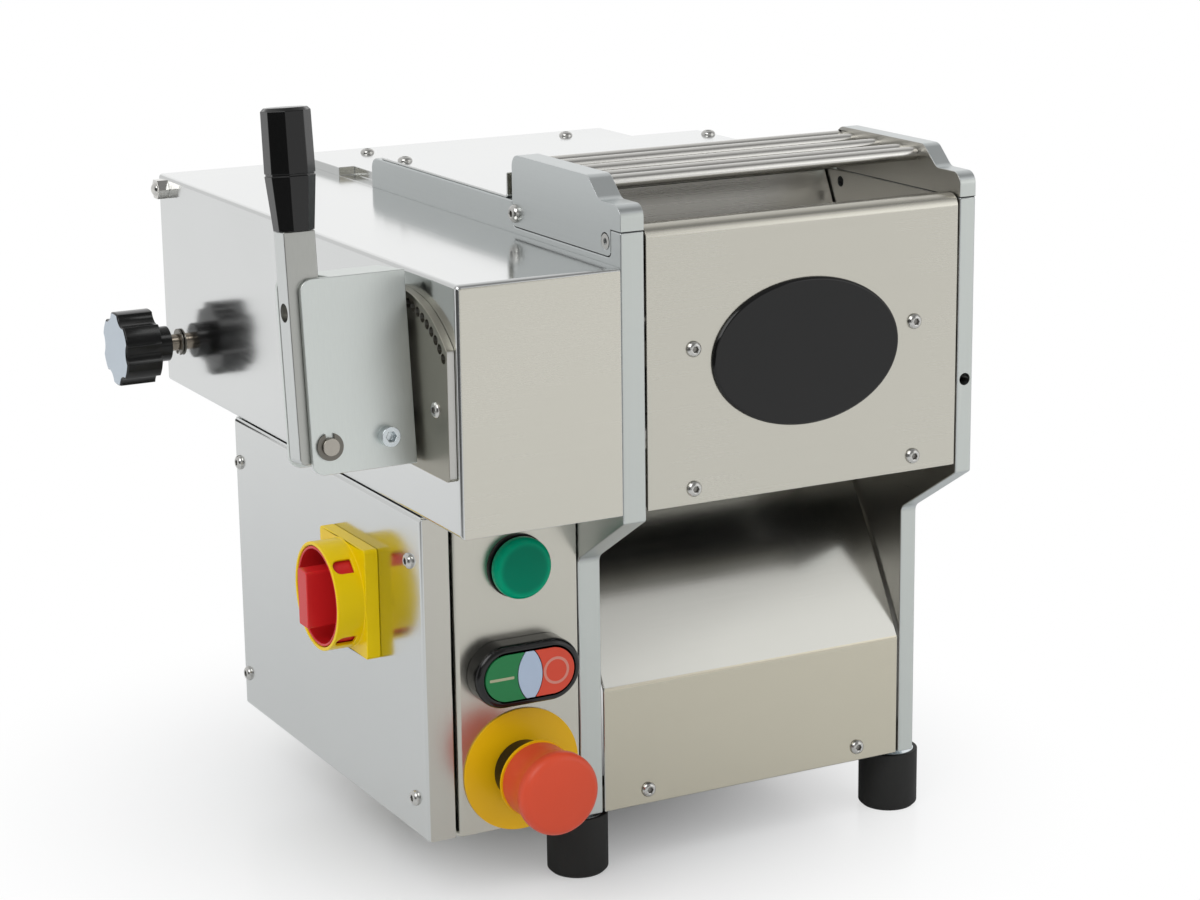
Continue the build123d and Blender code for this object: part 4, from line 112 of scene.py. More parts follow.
# Rounding of a piece as a multiple of its group's edge, where that isn't 1
EDGE_SHARE = {
    "outlet_chute": 1.8,
    "side_cover_hem": 0.5,
    "top_cover_lip": 0.5,
    "left_guard_cheek": 0.45,
    "right_guard_cheek": 0.45,
    "lever_bar": 0.8,
    "pivot_clips": 0.5,
    "star_knob": 0.3,
    "adjuster_rings": 0.5,
    "pilot_bezel": 0.5,
    "pilot_lens": 3.0,
    "start_button": 0.3,
    "stop_button": 0.3,
    "button_lens": 0.3,
    "estop_legend": 0.2,
    "estop_collar": 0.5,
    "estop_stem": 0.5,
    "estop_head": 2.2,
    "switch_shroud": 0.6,
    "switch_handle": 0.6,
    "feet": 0.6,
    "badge": 0.48,
}

# Steps of a turned head and ring, and of the chute's bow
HEAD_STEPS = 36
RING_STEPS = 64
BOW_STEPS = 12

# Screw heads from their edge inwards, as shares of radius and height
BUTTON_HEAD = (
    (1.0, -1.0), (1.0, -0.80), (0.965, -0.62), (0.88, -0.38), (0.76, -0.18), (0.62, -0.05), (0.54, 0.0),
)
PAN_HEAD = ((0.97, -1.0), (1.0, -0.1), (0.97, 0.0))
BUTTON_LEAST = 0.0018
PAN_KEY, PAN_DEPTH = 0.8, 0.6
HEAD_EDGE, SHANK_EDGE = 0.97, 0.8

# Hexagon sockets: their lip and reach as shares of the corner radius, the depth of their chamfer
# and of what counts as the head's rim as shares of the height
SOCKET_LIP = 1.12
SOCKET_REACH = 1.05
SOCKET_CHAMFER = 0.10
SOCKET_RIM = 0.01

# The cap screw's own socket: radius, and where it starts and ends behind the screw's face
CAP_SOCKET_RADIUS = 0.0030
CAP_SOCKET_START, CAP_SOCKET_END = 0.0002, 0.0040

# Side cover's hem, from the cover's and the housing's corners, and top cover's lip
HEM_START = Vector((0.0009, 0.0012, -0.0006))
HEM_END = Vector((-0.0005, -0.0012, -0.0004))
LIP_GAP, LIP_DEPTH, LIP_OVERLAP = 0.0004, 0.0012, 0.0001

# Depth within which vertices belong to an end of the grip, or to the lever bar's outer face
GRIP_END = 0.003
FACE_DEPTH = 0.0005

# Band behind the emergency stop's head, and the places of the marks from the buttons' outer ends
BAND_INNER, BAND_OUTER, BAND_PROUD = 0.0174, 0.0187, 0.0002
START_MARK_IN, STOP_MARK_IN = 0.0082, 0.0095
MARK_CORNER = 0.3

# Where the pilot lens goes from its flat middle to its rim with painted light, as shares of its radius
PILOT_FLAT, PILOT_EDGE = 0.68, 0.90

# Grain directions: few changes along the brushing, many across it, per metre
GRAIN_X = (7.0, 1500.0, 1500.0)
GRAIN_Y = (1500.0, 7.0, 1500.0)
GRAIN_Z = (1500.0, 1500.0, 7.0)
GRAIN_NONE = (420.0, 420.0, 420.0)

# Noise of the finishes: clouds per metre, detail, roughness, mean and height of the relief
METAL_CLOUD, SKIN_CLOUD = 14.0, 38.0
GRAIN_DETAIL, GRAIN_ROUGHNESS = 4.0, 0.65
CLOUD_DETAIL, CLOUD_ROUGHNESS = 3.0, 0.55
SKIN_DETAIL, SKIN_ROUGHNESS = 3.0, 0.5
NOISE_MEAN = 0.5
RELIEF = 0.0002

# Outputs of the finishes' node groups, and the Mix node's two values and result for each kind
FINISH_OUTPUTS = {"Color": "Color", "Roughness": "Float", "Height": "Float"}
MIX_SOCKETS = {"FLOAT": (2, 3, 0), "VECTOR": (4, 5, 1), "RGBA": (6, 7, 2)}

# Area lamps with their place, size and power, all turned to the middle of the machine
LAMPS = {
    "Key": ((-1.9, -1.2, 2.3), (1.9, 1.9), 32.0),
    "Fill": ((1.9, -1.6, 1.3), (2.0, 2.0), 6.5),
    "Back": ((0.9, 1.75, 0.95), (2.6, 1.0), 2.2),
    "Low": ((1.54, -1.86, 0.93), (1.2, 1.2), 2.4),
}
LAMP_AIM = Vector((0.0, 0.0, 0.18))

# Camera at the photograph's viewpoint, in metres, radians and millimetres
CAMERA_PLACE = Vector((-0.63302, -1.30989, 0.54568))
CAMERA_YAW, CAMERA_PITCH, CAMERA_ROLL = 0.486631, 0.246290, -0.0129055
CAMERA_LENS, CAMERA_SENSOR = 87.43, 36.0

# Fades of the floor, in metres, and of the surroundings, by direction: start, end and most
FLOOR_SEEN = (0.0, 0.32, 1.0)
FLOOR_MIRRORED = (0.25, 1.1, 0.7)
FLOOR_DARK_X, FLOOR_DARK_Y = (-0.40, -0.85, 0.95), (0.20, -0.30, 1.0)
DUSK_Y, DUSK_Z = (0.45, -0.35, 0.65), (0.05, 0.40, 1.0)
BESIDE_X, BESIDE_Y = (-0.50, -0.80, 0.95), (0.10, -0.25, 1.0)
MIRROR_DULL = 0.2
FLOOR_ROUGH, FLOOR_SPECULAR = 0.22, 0.35
SKY_COLOUR, SKY_STRENGTH = (0.97, 0.985, 1.0, 1.0), 0.72
WHITE = (1.0, 1.0, 1.0, 1.0)


# Sizes and colours that a user would change


def length(name, description, default):
    return bpy.props.FloatProperty(
        name=name, description=description, default=default, min=0.0, precision=5, unit="LENGTH"
    )


def share(name, description, default):
    return bpy.props.FloatProperty(
        name=name, description=description, default=default, min=0.0, max=1.0
    )


def colour(name, description, default):
    return bpy.props.FloatVectorProperty(
        name=name, description=description, default=default, size=3, min=0.0, max=1.0, subtype="COLOR"
    )


class SheeterSizes(bpy.types.PropertyGroup):
    sheet_edge: length("Sheet edge", "Rounding of cut and folded sheet", 0.0004)
    plate_edge: length("Plate edge", "Rounding of milled plates and bars", 0.0008)
    turned_edge: length("Turned edge", "Rounding of turned pins and shafts", 0.0004)
    moulded_edge: length("Moulded edge", "Rounding of plastic mouldings", 0.0009)
    button_key: length("Socket key", "Hexagon key of the button-head screws, across flats", 0.0029)
    head_radius: share("Head radius", "Radius of the screw heads as a share of the frame's", 0.89)
    head_height: share("Head height", "Height of the button heads as a share of the frame's", 0.93)
    socket_depth: length("Socket depth", "Depth of the hexagon sockets", 0.0010)
    mark_length: length("Start mark length", "Length of the bar on the start button", 0.0126)
    mark_width: length("Mark width", "Line width of the marks on the twin button", 0.0013)
    mark_ring: length("Stop mark radius", "Middle radius of the ring on the stop button", 0.0060)
    mark_rise: length("Mark rise", "Height of the printed marks", 0.00008)
    band_width: length("Head band", "Width of the band behind the emergency stop head", 0.0013)
    grip_share: share("Grip", "Width of the lever's grip as a share of the frame's", 0.90)
    pin_mouth: length("Pin mouth", "Radius of the index pin's hole at the bar's face", 0.0042)
    chute_bow: length("Chute bow", "Rise of the chute's slope at its middle", 0.0013)
    rim_limit: length("Rim limit", "Extent under which a screw hole's rim stays sharp", 0.014)
    floor_size: length("Floor size", "Side of the studio floor", 14.0)


class SheeterColours(bpy.types.PropertyGroup):
    stainless: colour("Stainless", "Folded stainless sheet", (0.560, 0.544, 0.482))
    chute: colour("Chute", "Stainless slope of the outlet chute", (0.530, 0.527, 0.492))
    chute_face: colour("Chute face", "Warmer front of the outlet chute", (0.560, 0.526, 0.430))
    # Painted shade: the inner colour darkens faces inside the machine to stand for the shade there
    inner: colour("Inner faces", "Faces inside the machine, darker as painted shade", (0.430, 0.420, 0.390))
    seam: colour("Seams", "Shaded joints between plates", (0.030, 0.030, 0.030))
    polished: colour("Bright cover", "Bright stainless of housing and covers", (0.680, 0.690, 0.685))
    lid: colour("Side cover", "Bright stainless of the side cover", (0.650, 0.662, 0.655))
    # Painted shade: the side cover's front flange is a darker copy of the same sheet
    lid_front_painted_shade: colour("Side cover front", "Front edge of the side cover", (0.540, 0.525, 0.475))
    # Painted shade: the fronts of the bright covers are a darker copy of the same stainless
    housing_front_painted_shade: colour("Housing front", "Front faces of the bright covers", (0.605, 0.588, 0.522))
    plate: colour("Plates", "Satin side plates and cheeks", (0.560, 0.588, 0.588))
    plate_edge: colour("Plate edges", "Milled front edges of the plates", (0.560, 0.588, 0.565))
    bright: colour("Bright steel", "Rods, cap nut, spring and stud", (0.640, 0.630, 0.600))
    screw: colour("Screws", "Screw heads", (0.560, 0.555, 0.535))
    socket: colour("Sockets", "Shaded insides of the screws' sockets", (0.270, 0.262, 0.245))
    # The clips and rings are blackened; the tie bars take this colour as painted shade inside the chute
    clip: colour("Clips", "Blackened clips and rings, and tie bars dark as painted shade", (0.180, 0.170, 0.150))
    pin: colour("Pins", "Oiled pivot and index pins", (0.420, 0.395, 0.350))
    shaft: colour("Adjuster shaft", "Oiled shaft behind the hand knob", (0.330, 0.285, 0.235))
    zinc: colour("Zinc", "Zinc plated studs and cap screw", (0.640, 0.690, 0.710))
    bracket: colour("Bracket", "Brushed lever bracket", (0.670, 0.705, 0.680))
    sector: colour("Sector", "Oiled index sector and gears", (0.335, 0.322, 0.275))
    sector_edge: colour("Sector edge", "Front edge of the index sector", (0.520, 0.515, 0.490))
    aluminium: colour("Aluminium", "Milled lever bar", (0.450, 0.455, 0.430))
    # Painted light: the lever bar's left face is a lighter copy of the same aluminium
    aluminium_painted_light_side: colour("Aluminium side", "Left face of the lever bar", (0.605, 0.625, 0.615))
    bronze: colour("Bronze", "Bearing bushes", (0.560, 0.360, 0.140))
    black: colour("Black", "Black mouldings and badge", (0.005, 0.005, 0.005))
    rubber: colour("Rubber", "Feet", (0.016, 0.016, 0.015))
    knob_face: colour("Knob face", "Pale front of the hand knob", (0.480, 0.540, 0.600))
    pilot: colour("Pilot", "Flat middle of the green pilot lens", (0.000, 0.200, 0.112))
    # Painted light: the rim colour is a lighter copy of the lens's green
    pilot_painted_rim_light: colour("Pilot rim", "Rounded rim of the green pilot lens", (0.000, 0.330, 0.175))
    start: colour("Start", "Green half of the twin button", (0.016, 0.185, 0.058))
    stop: colour("Stop", "Red half of the twin button", (0.640, 0.070, 0.036))
    lens: colour("Centre lens", "Pale lens of the twin button", (0.420, 0.510, 0.640))
    start_mark: colour("Start mark", "Bar printed on the start button", (0.380, 0.390, 0.250))
    stop_mark: colour("Stop mark", "Ring printed on the stop button", (0.620, 0.240, 0.190))
    legend: colour("Legend", "Yellow legend disc and head band", (0.800, 0.460, 0.002))
    estop: colour("Emergency stop", "Mushroom head", (0.660, 0.070, 0.026))
    shroud: colour("Shroud", "Yellow switch shroud", (0.860, 0.610, 0.001))
    handle: colour("Switch handle", "Red switch handle", (0.620, 0.018, 0.020))
    paint: colour("Motor paint", "Gearmotor inside the rear cover", (0.160, 0.170, 0.180))
    floor: colour("Floor", "Studio floor", (0.840, 0.845, 0.845))


def sizes():
    return bpy.context.scene.sheeter_sizes


def colours():
    return bpy.context.scene.sheeter_colours


# Nodes, and the node groups that several finishes share


def put(tree, socket, value):
    """Joins a socket to another one, or sets its value."""
    if isinstance(value, bpy.types.NodeSocket):
        tree.links.new(value, socket)
    else:
        socket.default_value = value


def math_node(tree, operation, *values):
    node = tree.nodes.new("ShaderNodeMath")
    node.operation = operation
    for socket, value in zip(node.inputs, values):
        put(tree, socket, value)
    return node.outputs[0]


def vector_node(tree, operation, *values):
    node = tree.nodes.new("ShaderNodeVectorMath")
    node.operation = operation
    for socket, value in zip(node.inputs, values):
        put(tree, socket, value)
    return node.outputs["Value" if operation == "LENGTH" else "Vector"]


def noise_node(tree, vector, scale, detail, roughness):
    node = tree.nodes.new("ShaderNodeTexNoise")
    values = {"Vector": vector, "Scale": scale, "Detail": detail, "Roughness": roughness}
    for label, value in values.items():
        put(tree, node.inputs[label], value)
    return node.outputs["Fac"]


def mix_node(tree, kind, factor, first, second, blend="MIX"):
    """Mix of two values, vectors or colours."""
    node = tree.nodes.new("ShaderNodeMix")
    node.data_type = kind
    node.blend_type = blend
    one, other, result = MIX_SOCKETS[kind]
    put(tree, node.inputs[0], factor)
    put(tree, node.inputs[one], first)
    put(tree, node.inputs[other], second)
    return node.outputs[result]


def scaled_colour(tree, base, factor):
    """A colour times a value that changes over the surface."""
    grey = tree.nodes.new("ShaderNodeCombineColor")
    for channel in grey.inputs:
        put(tree, channel, factor)
    return mix_node(tree, "RGBA", 1.0, base, grey.outputs[0], "MULTIPLY")


def rise(tree, value, start, end, most):
    """Smooth rise from 0 to most while a value goes from start to end."""
    node = tree.nodes.new("ShaderNodeMapRange")
    node.interpolation_type = "SMOOTHSTEP"
    values = {"Value": value, "From Min": start, "From Max": end, "To Max": most}
    for label, each in values.items():
        put(tree, node.inputs[label], each)
    return node.outputs["Result"]


def parts_of(tree, vector):
    """The X, Y and Z of a vector."""
    node = tree.nodes.new("ShaderNodeSeparateXYZ")
    put(tree, node.inputs[0], vector)
    return node.outputs


def new_group(name, inputs):
    """Node group with its inputs, named with their kinds, and the outputs of a finish."""
    group = bpy.data.node_groups.new(name, "ShaderNodeTree")
    for direction, sockets in (("INPUT", inputs), ("OUTPUT", FINISH_OUTPUTS)):
        for label, kind in sockets.items():
            group.interface.new_socket(name=label, in_out=direction, socket_type="NodeSocket" + kind)
    given = group.nodes.new("NodeGroupInput").outputs
    made = group.nodes.new("NodeGroupOutput").inputs
    return group, given, made


def brushed_group():
    """Brushed metal: drawn-out grain, with another grain and gloss on faces to the front."""
    name = "Brushed metal"
    if name in bpy.data.node_groups:
        return bpy.data.node_groups[name]
    inputs = {
        "Vector": "Vector",
        "Normal": "Vector",
        "Base": "Color",
        "Front Base": "Color",
        "Grain": "Vector",
        "Front Grain": "Vector",
        "Rough": "Float",
        "Front Rough": "Float",
        "Spread": "Float",
        "Tone": "Float",
    }
    group, given, made = new_group(name, inputs)
    facing = math_node(group, "ABSOLUTE", parts_of(group, given["Normal"])["Y"])
    fronting = math_node(group, "GREATER_THAN", facing, FRONTING)
    grain = mix_node(group, "VECTOR", fronting, given["Grain"], given["Front Grain"])
    drawn = vector_node(group, "MULTIPLY", given["Vector"], grain)
    fine = noise_node(group, drawn, 1.0, GRAIN_DETAIL, GRAIN_ROUGHNESS)
    cloud = noise_node(group, given["Vector"], METAL_CLOUD, CLOUD_DETAIL, CLOUD_ROUGHNESS)
    even = math_node(group, "SUBTRACT", fine, NOISE_MEAN)
    drift = math_node(group, "SUBTRACT", cloud, NOISE_MEAN)
    tone = math_node(group, "MULTIPLY_ADD", even, given["Tone"], 1.0)
    haze = math_node(group, "MULTIPLY_ADD", drift, given["Tone"], tone)
    # On the bright covers and the side cover the front base is painted shade
    base = mix_node(group, "RGBA", fronting, given["Base"], given["Front Base"])
    put(group, made["Color"], scaled_colour(group, base, haze))
    level = mix_node(group, "FLOAT", fronting, given["Rough"], given["Front Rough"])
    streak = math_node(group, "MULTIPLY_ADD", even, given["Spread"], level)
    put(group, made["Roughness"], math_node(group, "MULTIPLY_ADD", drift, given["Spread"], streak))
    put(group, made["Height"], fine)
    return group


def moulded_group():
    """Moulded plastic or rubber: fine skin, faint drift of colour and gloss."""
    name = "Moulded skin"
    if name in bpy.data.node_groups:
        return bpy.data.node_groups[name]
    inputs = {
        "Vector": "Vector",
        "Base": "Color",
        "Skin": "Float",
        "Rough": "Float",
        "Spread": "Float",
        "Tone": "Float",
    }
    group, given, made = new_group(name, inputs)
    skin = noise_node(group, given["Vector"], given["Skin"], SKIN_DETAIL, SKIN_ROUGHNESS)
    cloud = noise_node(group, given["Vector"], SKIN_CLOUD, CLOUD_DETAIL, CLOUD_ROUGHNESS)
    drift = math_node(group, "SUBTRACT", cloud, NOISE_MEAN)
    tone = math_node(group, "MULTIPLY_ADD", drift, given["Tone"], 1.0)
    put(group, made["Color"], scaled_colour(group, given["Base"], tone))
    dull = math_node(group, "MULTIPLY_ADD", drift, given["Spread"], given["Rough"])
    put(group, made["Roughness"], dull)
    put(group, made["Height"], skin)
    return group


# Finishes


def start_material(name):
    """A new material with its shader, or the one already made under that name."""
    made = bpy.data.materials.get(name)
    if made:
        return made, None, None
    made = bpy.data.materials.new(name)
    made.use_nodes = True
    return made, made.node_tree, made.node_tree.nodes["Principled BSDF"]


def place_group(tree, shader, group, values, bump):
    """Puts a node group into a material and joins its outputs to the shader."""
    node = tree.nodes.new("ShaderNodeGroup")
    node.node_tree = group
    where = tree.nodes.new("ShaderNodeTexCoord")
    put(tree, node.inputs["Vector"], where.outputs["Object"])
    if "Normal" in node.inputs:
        put(tree, node.inputs["Normal"], where.outputs["Normal"])
    for label, value in values.items():
        put(tree, node.inputs[label], value)
    put(tree, shader.inputs["Base Color"], node.outputs["Color"])
    put(tree, shader.inputs["Roughness"], node.outputs["Roughness"])
    lift = tree.nodes.new("ShaderNodeBump")
    put(tree, lift.inputs["Strength"], bump)
    put(tree, lift.inputs["Distance"], RELIEF)
    put(tree, lift.inputs["Height"], node.outputs["Height"])
    put(tree, shader.inputs["Normal"], lift.outputs["Normal"])


def brushed(
    name, base, grain, rough, front_grain=None, front_rough=None, front_base=None,
    spread=0.10, tone=0.06, bump=0.04,
):
    made, tree, shader = start_material(name)
    if tree is None:
        return made
    shader.inputs["Metallic"].default_value = 1.0
    values = {
        "Base": (*base, 1.0),
        "Front Base": (*(front_base or base), 1.0),
        "Grain": grain,
        "Front Grain": front_grain or grain,
        "Rough": rough,
        "Front Rough": rough if front_rough is None else front_rough,
        "Spread": spread,
        "Tone": tone,
    }
    place_group(tree, shader, brushed_group(), values, bump)
    return made


def moulded(name, base, rough, skin=900.0, spread=0.10, tone=0.16, bump=0.06, specular=0.35):
    made, tree, shader = start_material(name)
    if tree is None:
        return made
    shader.inputs["Metallic"].default_value = 0.0
    shader.inputs["Specular IOR Level"].default_value = specular
    values = {"Base": (*base, 1.0), "Skin": skin, "Rough": rough, "Spread": spread, "Tone": tone}
    place_group(tree, shader, moulded_group(), values, bump)
    return made


def gloss(name, base, rough, specular=0.30):
    return moulded(name, base, rough, tone=0.07, spread=0.06, bump=0.03, specular=specular)


def stainless():
    return brushed("Stainless sheet", colours().stainless, GRAIN_X, rough=0.26, spread=0.07, tone=0.045)


def chute_sheet():
    return brushed(
        "Chute sheet", colours().chute, GRAIN_X, rough=0.17,
        front_rough=0.22, front_base=colours().chute_face, spread=0.08, tone=0.05,
    )


# Painted shade: a darker sheet for faces inside the machine
def painted_shade_inner_sheet():
    return brushed("Inner sheet", colours().inner, GRAIN_X, rough=0.28)


# Painted shade: a darker plate finish for faces turned to the inside
def painted_shade_inner_plate():
    return brushed("Inner plate", colours().inner, GRAIN_Y, rough=0.30)


def seam_shade():
    return moulded("Seam shade", colours().seam, rough=0.60, specular=0.1)


# Painted shade: front faces take a darker, warmer base than the rest of the same sheet
def bright_cover():
    return brushed(
        "Bright cover", colours().polished, GRAIN_Y, rough=0.13,
        front_grain=GRAIN_X, front_rough=0.26, front_base=colours().housing_front_painted_shade,
        spread=0.09, tone=0.05, bump=0.02,
    )


# Painted shade: the front flange takes a darker base than the rest of the sheet
def lid_sheet():
    return brushed(
        "Side cover sheet", colours().lid, GRAIN_Y, rough=0.16,
        front_grain=GRAIN_Z, front_rough=0.24, front_base=colours().lid_front_painted_shade, tone=0.05, bump=0.02,
    )


def upright_sheet():
    return brushed(
        "Upright sheet", colours().stainless, GRAIN_Y, rough=0.24,
        front_grain=GRAIN_Z, front_rough=0.26, spread=0.05, tone=0.03, bump=0.02,
    )


def plate_metal():
    return brushed(
        "Satin plate", colours().plate, GRAIN_Y, rough=0.34,
        front_grain=GRAIN_Z, front_rough=0.38, front_base=colours().plate_edge, tone=0.08, bump=0.06,
    )


# Painted shade: the tie bars take the dark clip colour for the shade inside the chute
def painted_shade_tie_steel():
    return brushed("Tie bar steel", colours().clip, GRAIN_X, rough=0.38)


def rod_steel():
    return brushed("Ground rod", colours().bright, GRAIN_X, rough=0.22, bump=0.03)


# Painted shade: the rollers take the darker inner colour for the shade inside the machine
def painted_shade_roller_steel():
    return brushed("Roller face", colours().inner, GRAIN_X, rough=0.15, bump=0.02)


def nut_steel():
    return brushed(
        "Cap nut steel", colours().bright, GRAIN_NONE, rough=0.13, spread=0.06, tone=0.05, bump=0.01
    )


def bright_steel():
    return brushed("Bright steel", colours().bright, GRAIN_NONE, rough=0.19, bump=0.03)


def screw_steel():
    return brushed(
        "Screw steel", colours().screw, GRAIN_NONE, rough=0.22, spread=0.14, tone=0.12, bump=0.03
    )


def socket_shade():
    return brushed("Socket shade", colours().socket, GRAIN_NONE, rough=0.45, tone=0.2)


def clip_steel():
    return brushed("Clip steel", colours().clip, GRAIN_NONE, rough=0.30, tone=0.2)


def pin_steel():
    return brushed("Pin steel", colours().pin, GRAIN_NONE, rough=0.24, spread=0.14, tone=0.14)


def shaft_steel():
    return brushed("Oiled shaft", colours().shaft, GRAIN_NONE, rough=0.22, spread=0.14, tone=0.14)


def zinc():
    return brushed(
        "Zinc plate", colours().zinc, GRAIN_NONE, rough=0.24, spread=0.16, tone=0.12, bump=0.05
    )


def bracket_steel():
    return brushed(
        "Brushed bracket", colours().bracket, GRAIN_Z, rough=0.36, spread=0.14, tone=0.10, bump=0.07
    )


def sector_steel():
    return brushed(
        "Index sector", colours().sector, GRAIN_Y, rough=0.36,
        front_base=colours().sector_edge, spread=0.16, tone=0.16, bump=0.08,
    )


def gear_steel():
    return brushed(
        "Gear steel", colours().sector, GRAIN_NONE, rough=0.36, spread=0.16, tone=0.16, bump=0.08
    )


def milled(name, base):
    return brushed(name, base, GRAIN_Z, rough=0.33, spread=0.14, tone=0.12, bump=0.08)


def bronze():
    return brushed("Bearing bronze", colours().bronze, GRAIN_NONE, rough=0.30)


def gloss_black():
    return moulded(
        "Gloss black", colours().black, rough=0.16, tone=0.20, spread=0.08, bump=0.03, specular=0.45
    )


def satin_black():
    return moulded("Satin black", colours().black, rough=0.34, tone=0.20, spread=0.12, bump=0.08)


def badge_resin():
    return moulded("Badge resin", colours().black, rough=0.10, tone=0.25, spread=0.05, bump=0.01)


def rubber():
    return moulded(
        "Foot rubber", colours().rubber, rough=0.62, skin=700.0, tone=0.35, spread=0.18, bump=0.18
    )


def legend_yellow():
    return moulded("Legend yellow", colours().legend, rough=0.34, tone=0.06, spread=0.06, bump=0.03)


def emergency_red():
    return moulded("Emergency red", colours().estop, rough=0.36, tone=0.08, spread=0.10, bump=0.05)


def pilot_glass():
    """Green lens with painted light: lighter at its rounded rim than in its flat middle."""
    made = gloss("Pilot lens", colours().pilot, rough=0.12, specular=0.08)
    tree = made.node_tree
    skin = next(node for node in tree.nodes if node.type == "GROUP")
    low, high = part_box("pilot_lens")
    middle, radius = (low + high) / 2, (high.x - low.x) / 2
    where = tree.nodes.new("ShaderNodeTexCoord")
    centred = tree.nodes.new("ShaderNodeMapping")
    put(tree, centred.inputs["Vector"], where.outputs["Object"])
    put(tree, centred.inputs["Location"], (-middle.x, 0.0, -middle.z))
    put(tree, centred.inputs["Scale"], (1.0, 0.0, 1.0))
    away = vector_node(tree, "LENGTH", centred.outputs["Vector"])
    rim = rise(tree, away, PILOT_FLAT * radius, PILOT_EDGE * radius, 1.0)
    tint = mix_node(tree, "RGBA", rim, (*colours().pilot, 1.0), (*colours().pilot_painted_rim_light, 1.0))
    put(tree, skin.inputs["Base"], tint)
    return made


# Shapes


def merged(name):
    """A bmesh of a node's shape, with its loose triangles joined into faces."""
    shape = bmesh.new()
    shape.from_mesh(NODES[name].data)
    bmesh.ops.remove_doubles(shape, verts=shape.verts, dist=MERGE)
    bmesh.ops.dissolve_limit(shape, angle_limit=FLAT, verts=shape.verts, edges=shape.edges)
    return shape


def finish(shape, name, body, material, replaced=(), slot=None):
    """Makes a piece of a bmesh, which is freed, smooths it and lets it ride on a body.

    The material may be a tuple, for a shape whose faces name more than one.
    """
    mesh = bpy.data.meshes.new(name)
    shape.to_mesh(mesh)
    shape.free()
    if not mesh.polygons:
        raise RuntimeError(name + " has no faces")
    mesh.polygons.foreach_set("use_smooth", [True] * len(mesh.polygons))
    mesh.set_sharp_from_angle(angle=SMOOTH)
    for each in material if isinstance(material, tuple) else (material,):
        mesh.materials.append(each)
    piece = bpy.data.objects.new(name, mesh)
    bpy.context.scene.collection.objects.link(piece)
    even = piece.modifiers.new("Even shading", "WEIGHTED_NORMAL")
    even.keep_sharp = True
    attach(piece, body)
    if replaced:
        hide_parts(*replaced)
    return piece


def body_of(name):
    return NODES[name]["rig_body"]


def slot_of(name):
    rows = frame["record"]["subparts"]
    return next(row["material_slot"] for row in rows if row["node"] == name)


def middle_of(name):
    low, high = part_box(name)
    return (low + high) / 2


def groups(items, neighbours):
    """The items in groups that hang together, where neighbours lists what is next to one."""
    left = dict.fromkeys(items)
    while left:
        group, queue = [], [next(iter(left))]
        while queue:
            item = queue.pop()
            if item in left:
                del left[item]
                group.append(item)
                queue.extend(neighbours(item))
        yield group


def corners(points):
    """Lowest and highest corner of some points."""
    rows = list(zip(*points))
    return Vector([min(row) for row in rows]), Vector([max(row) for row in rows])


def extent(edges):
    low, high = corners(vert.co for edge in edges for vert in edge.verts)
    return max(high - low)


def bevel(shape, edges, width, segments, clamp=True):
    bmesh.ops.bevel(
        shape, geom=edges, offset=width, offset_type="OFFSET", segments=segments,
        profile=0.5, affect="EDGES", clamp_overlap=clamp, material=-1,
    )


def edge_of(name, edge):
    return EDGE_SHARE.get(name, 1.0) * edge


def rounded(name, edge, material, segments=2, pick=None, smallest=0.0, clamp=True, shape=None):
    """A node's shape with its sharp edges rounded, standing for the node.

    Edge chains under the smallest extent, such as the rims of screw holes, stay sharp. Where the
    material is a tuple, pick gives each face the number of its own. A shape that is given is the
    node's own, already changed a little.
    """
    if shape is None:
        shape = merged(name)
    sharp = [e for e in shape.edges if len(e.link_faces) == 2 and e.calc_face_angle(0.0) > CREASE]
    chains = groups(sharp, lambda e: [each for vert in e.verts for each in vert.link_edges])
    large = [e for chain in chains if extent(chain) >= smallest for e in chain]
    bevel(shape, large, edge_of(name, edge), segments, clamp)
    if pick:
        shape.normal_update()
        for face in shape.faces:
            face.material_index = pick(face)
    return finish(shape, name + "_rounded", body_of(name), material, [name], slot_of(name))


def sharp_rims():
    """Rounding that passes over the rims of screw holes."""
    return {"smallest": sizes().rim_limit, "clamp": False}


def dress(name, material):
    """Gives a node that keeps its own shape a finish."""
    node = NODES[name]
    node.data.materials.clear()
    node.data.materials.append(material)


def block(size):
    """Straight block about the origin."""
    shape = bmesh.new()
    bmesh.ops.create_cube(shape, size=1.0)
    bmesh.ops.scale(shape, vec=size, verts=shape.verts)
    return shape


def spun(points, steps):
    """Shape of revolution about Z from (radius, height) points."""
    shape = bmesh.new()
    rim = [shape.verts.new((radius, 0.0, height)) for radius, height in points]
    edges = [shape.edges.new(pair) for pair in zip(rim, rim[1:])]
    bmesh.ops.spin(
        shape, geom=rim + edges, cent=(0, 0, 0), axis=(0, 0, 1),
        angle=2 * math.pi, steps=steps, use_merge=True,
    )
    bmesh.ops.remove_doubles(shape, verts=shape.verts, dist=MERGE)
    bmesh.ops.recalc_face_normals(shape, faces=shape.faces)
    return shape


def aimed(at, towards):
    """Matrix that carries local Z to a direction at a place."""
    return Matrix.Translation(at) @ towards.to_track_quat("Z", "Y").to_matrix().to_4x4()


def gathered(name, parts, body, material, replaced=(), slot=None):
    """One piece from several bmeshes, each given with its matrix."""
    whole = bmesh.new()
    for part, matrix in parts:
        bmesh.ops.transform(part, matrix=matrix, verts=part.verts)
        loose = bpy.data.meshes.new(name)
        part.to_mesh(loose)
        part.free()
        whole.from_mesh(loose)
        bpy.data.meshes.remove(loose)
    return finish(whole, name, body, material, replaced, slot)


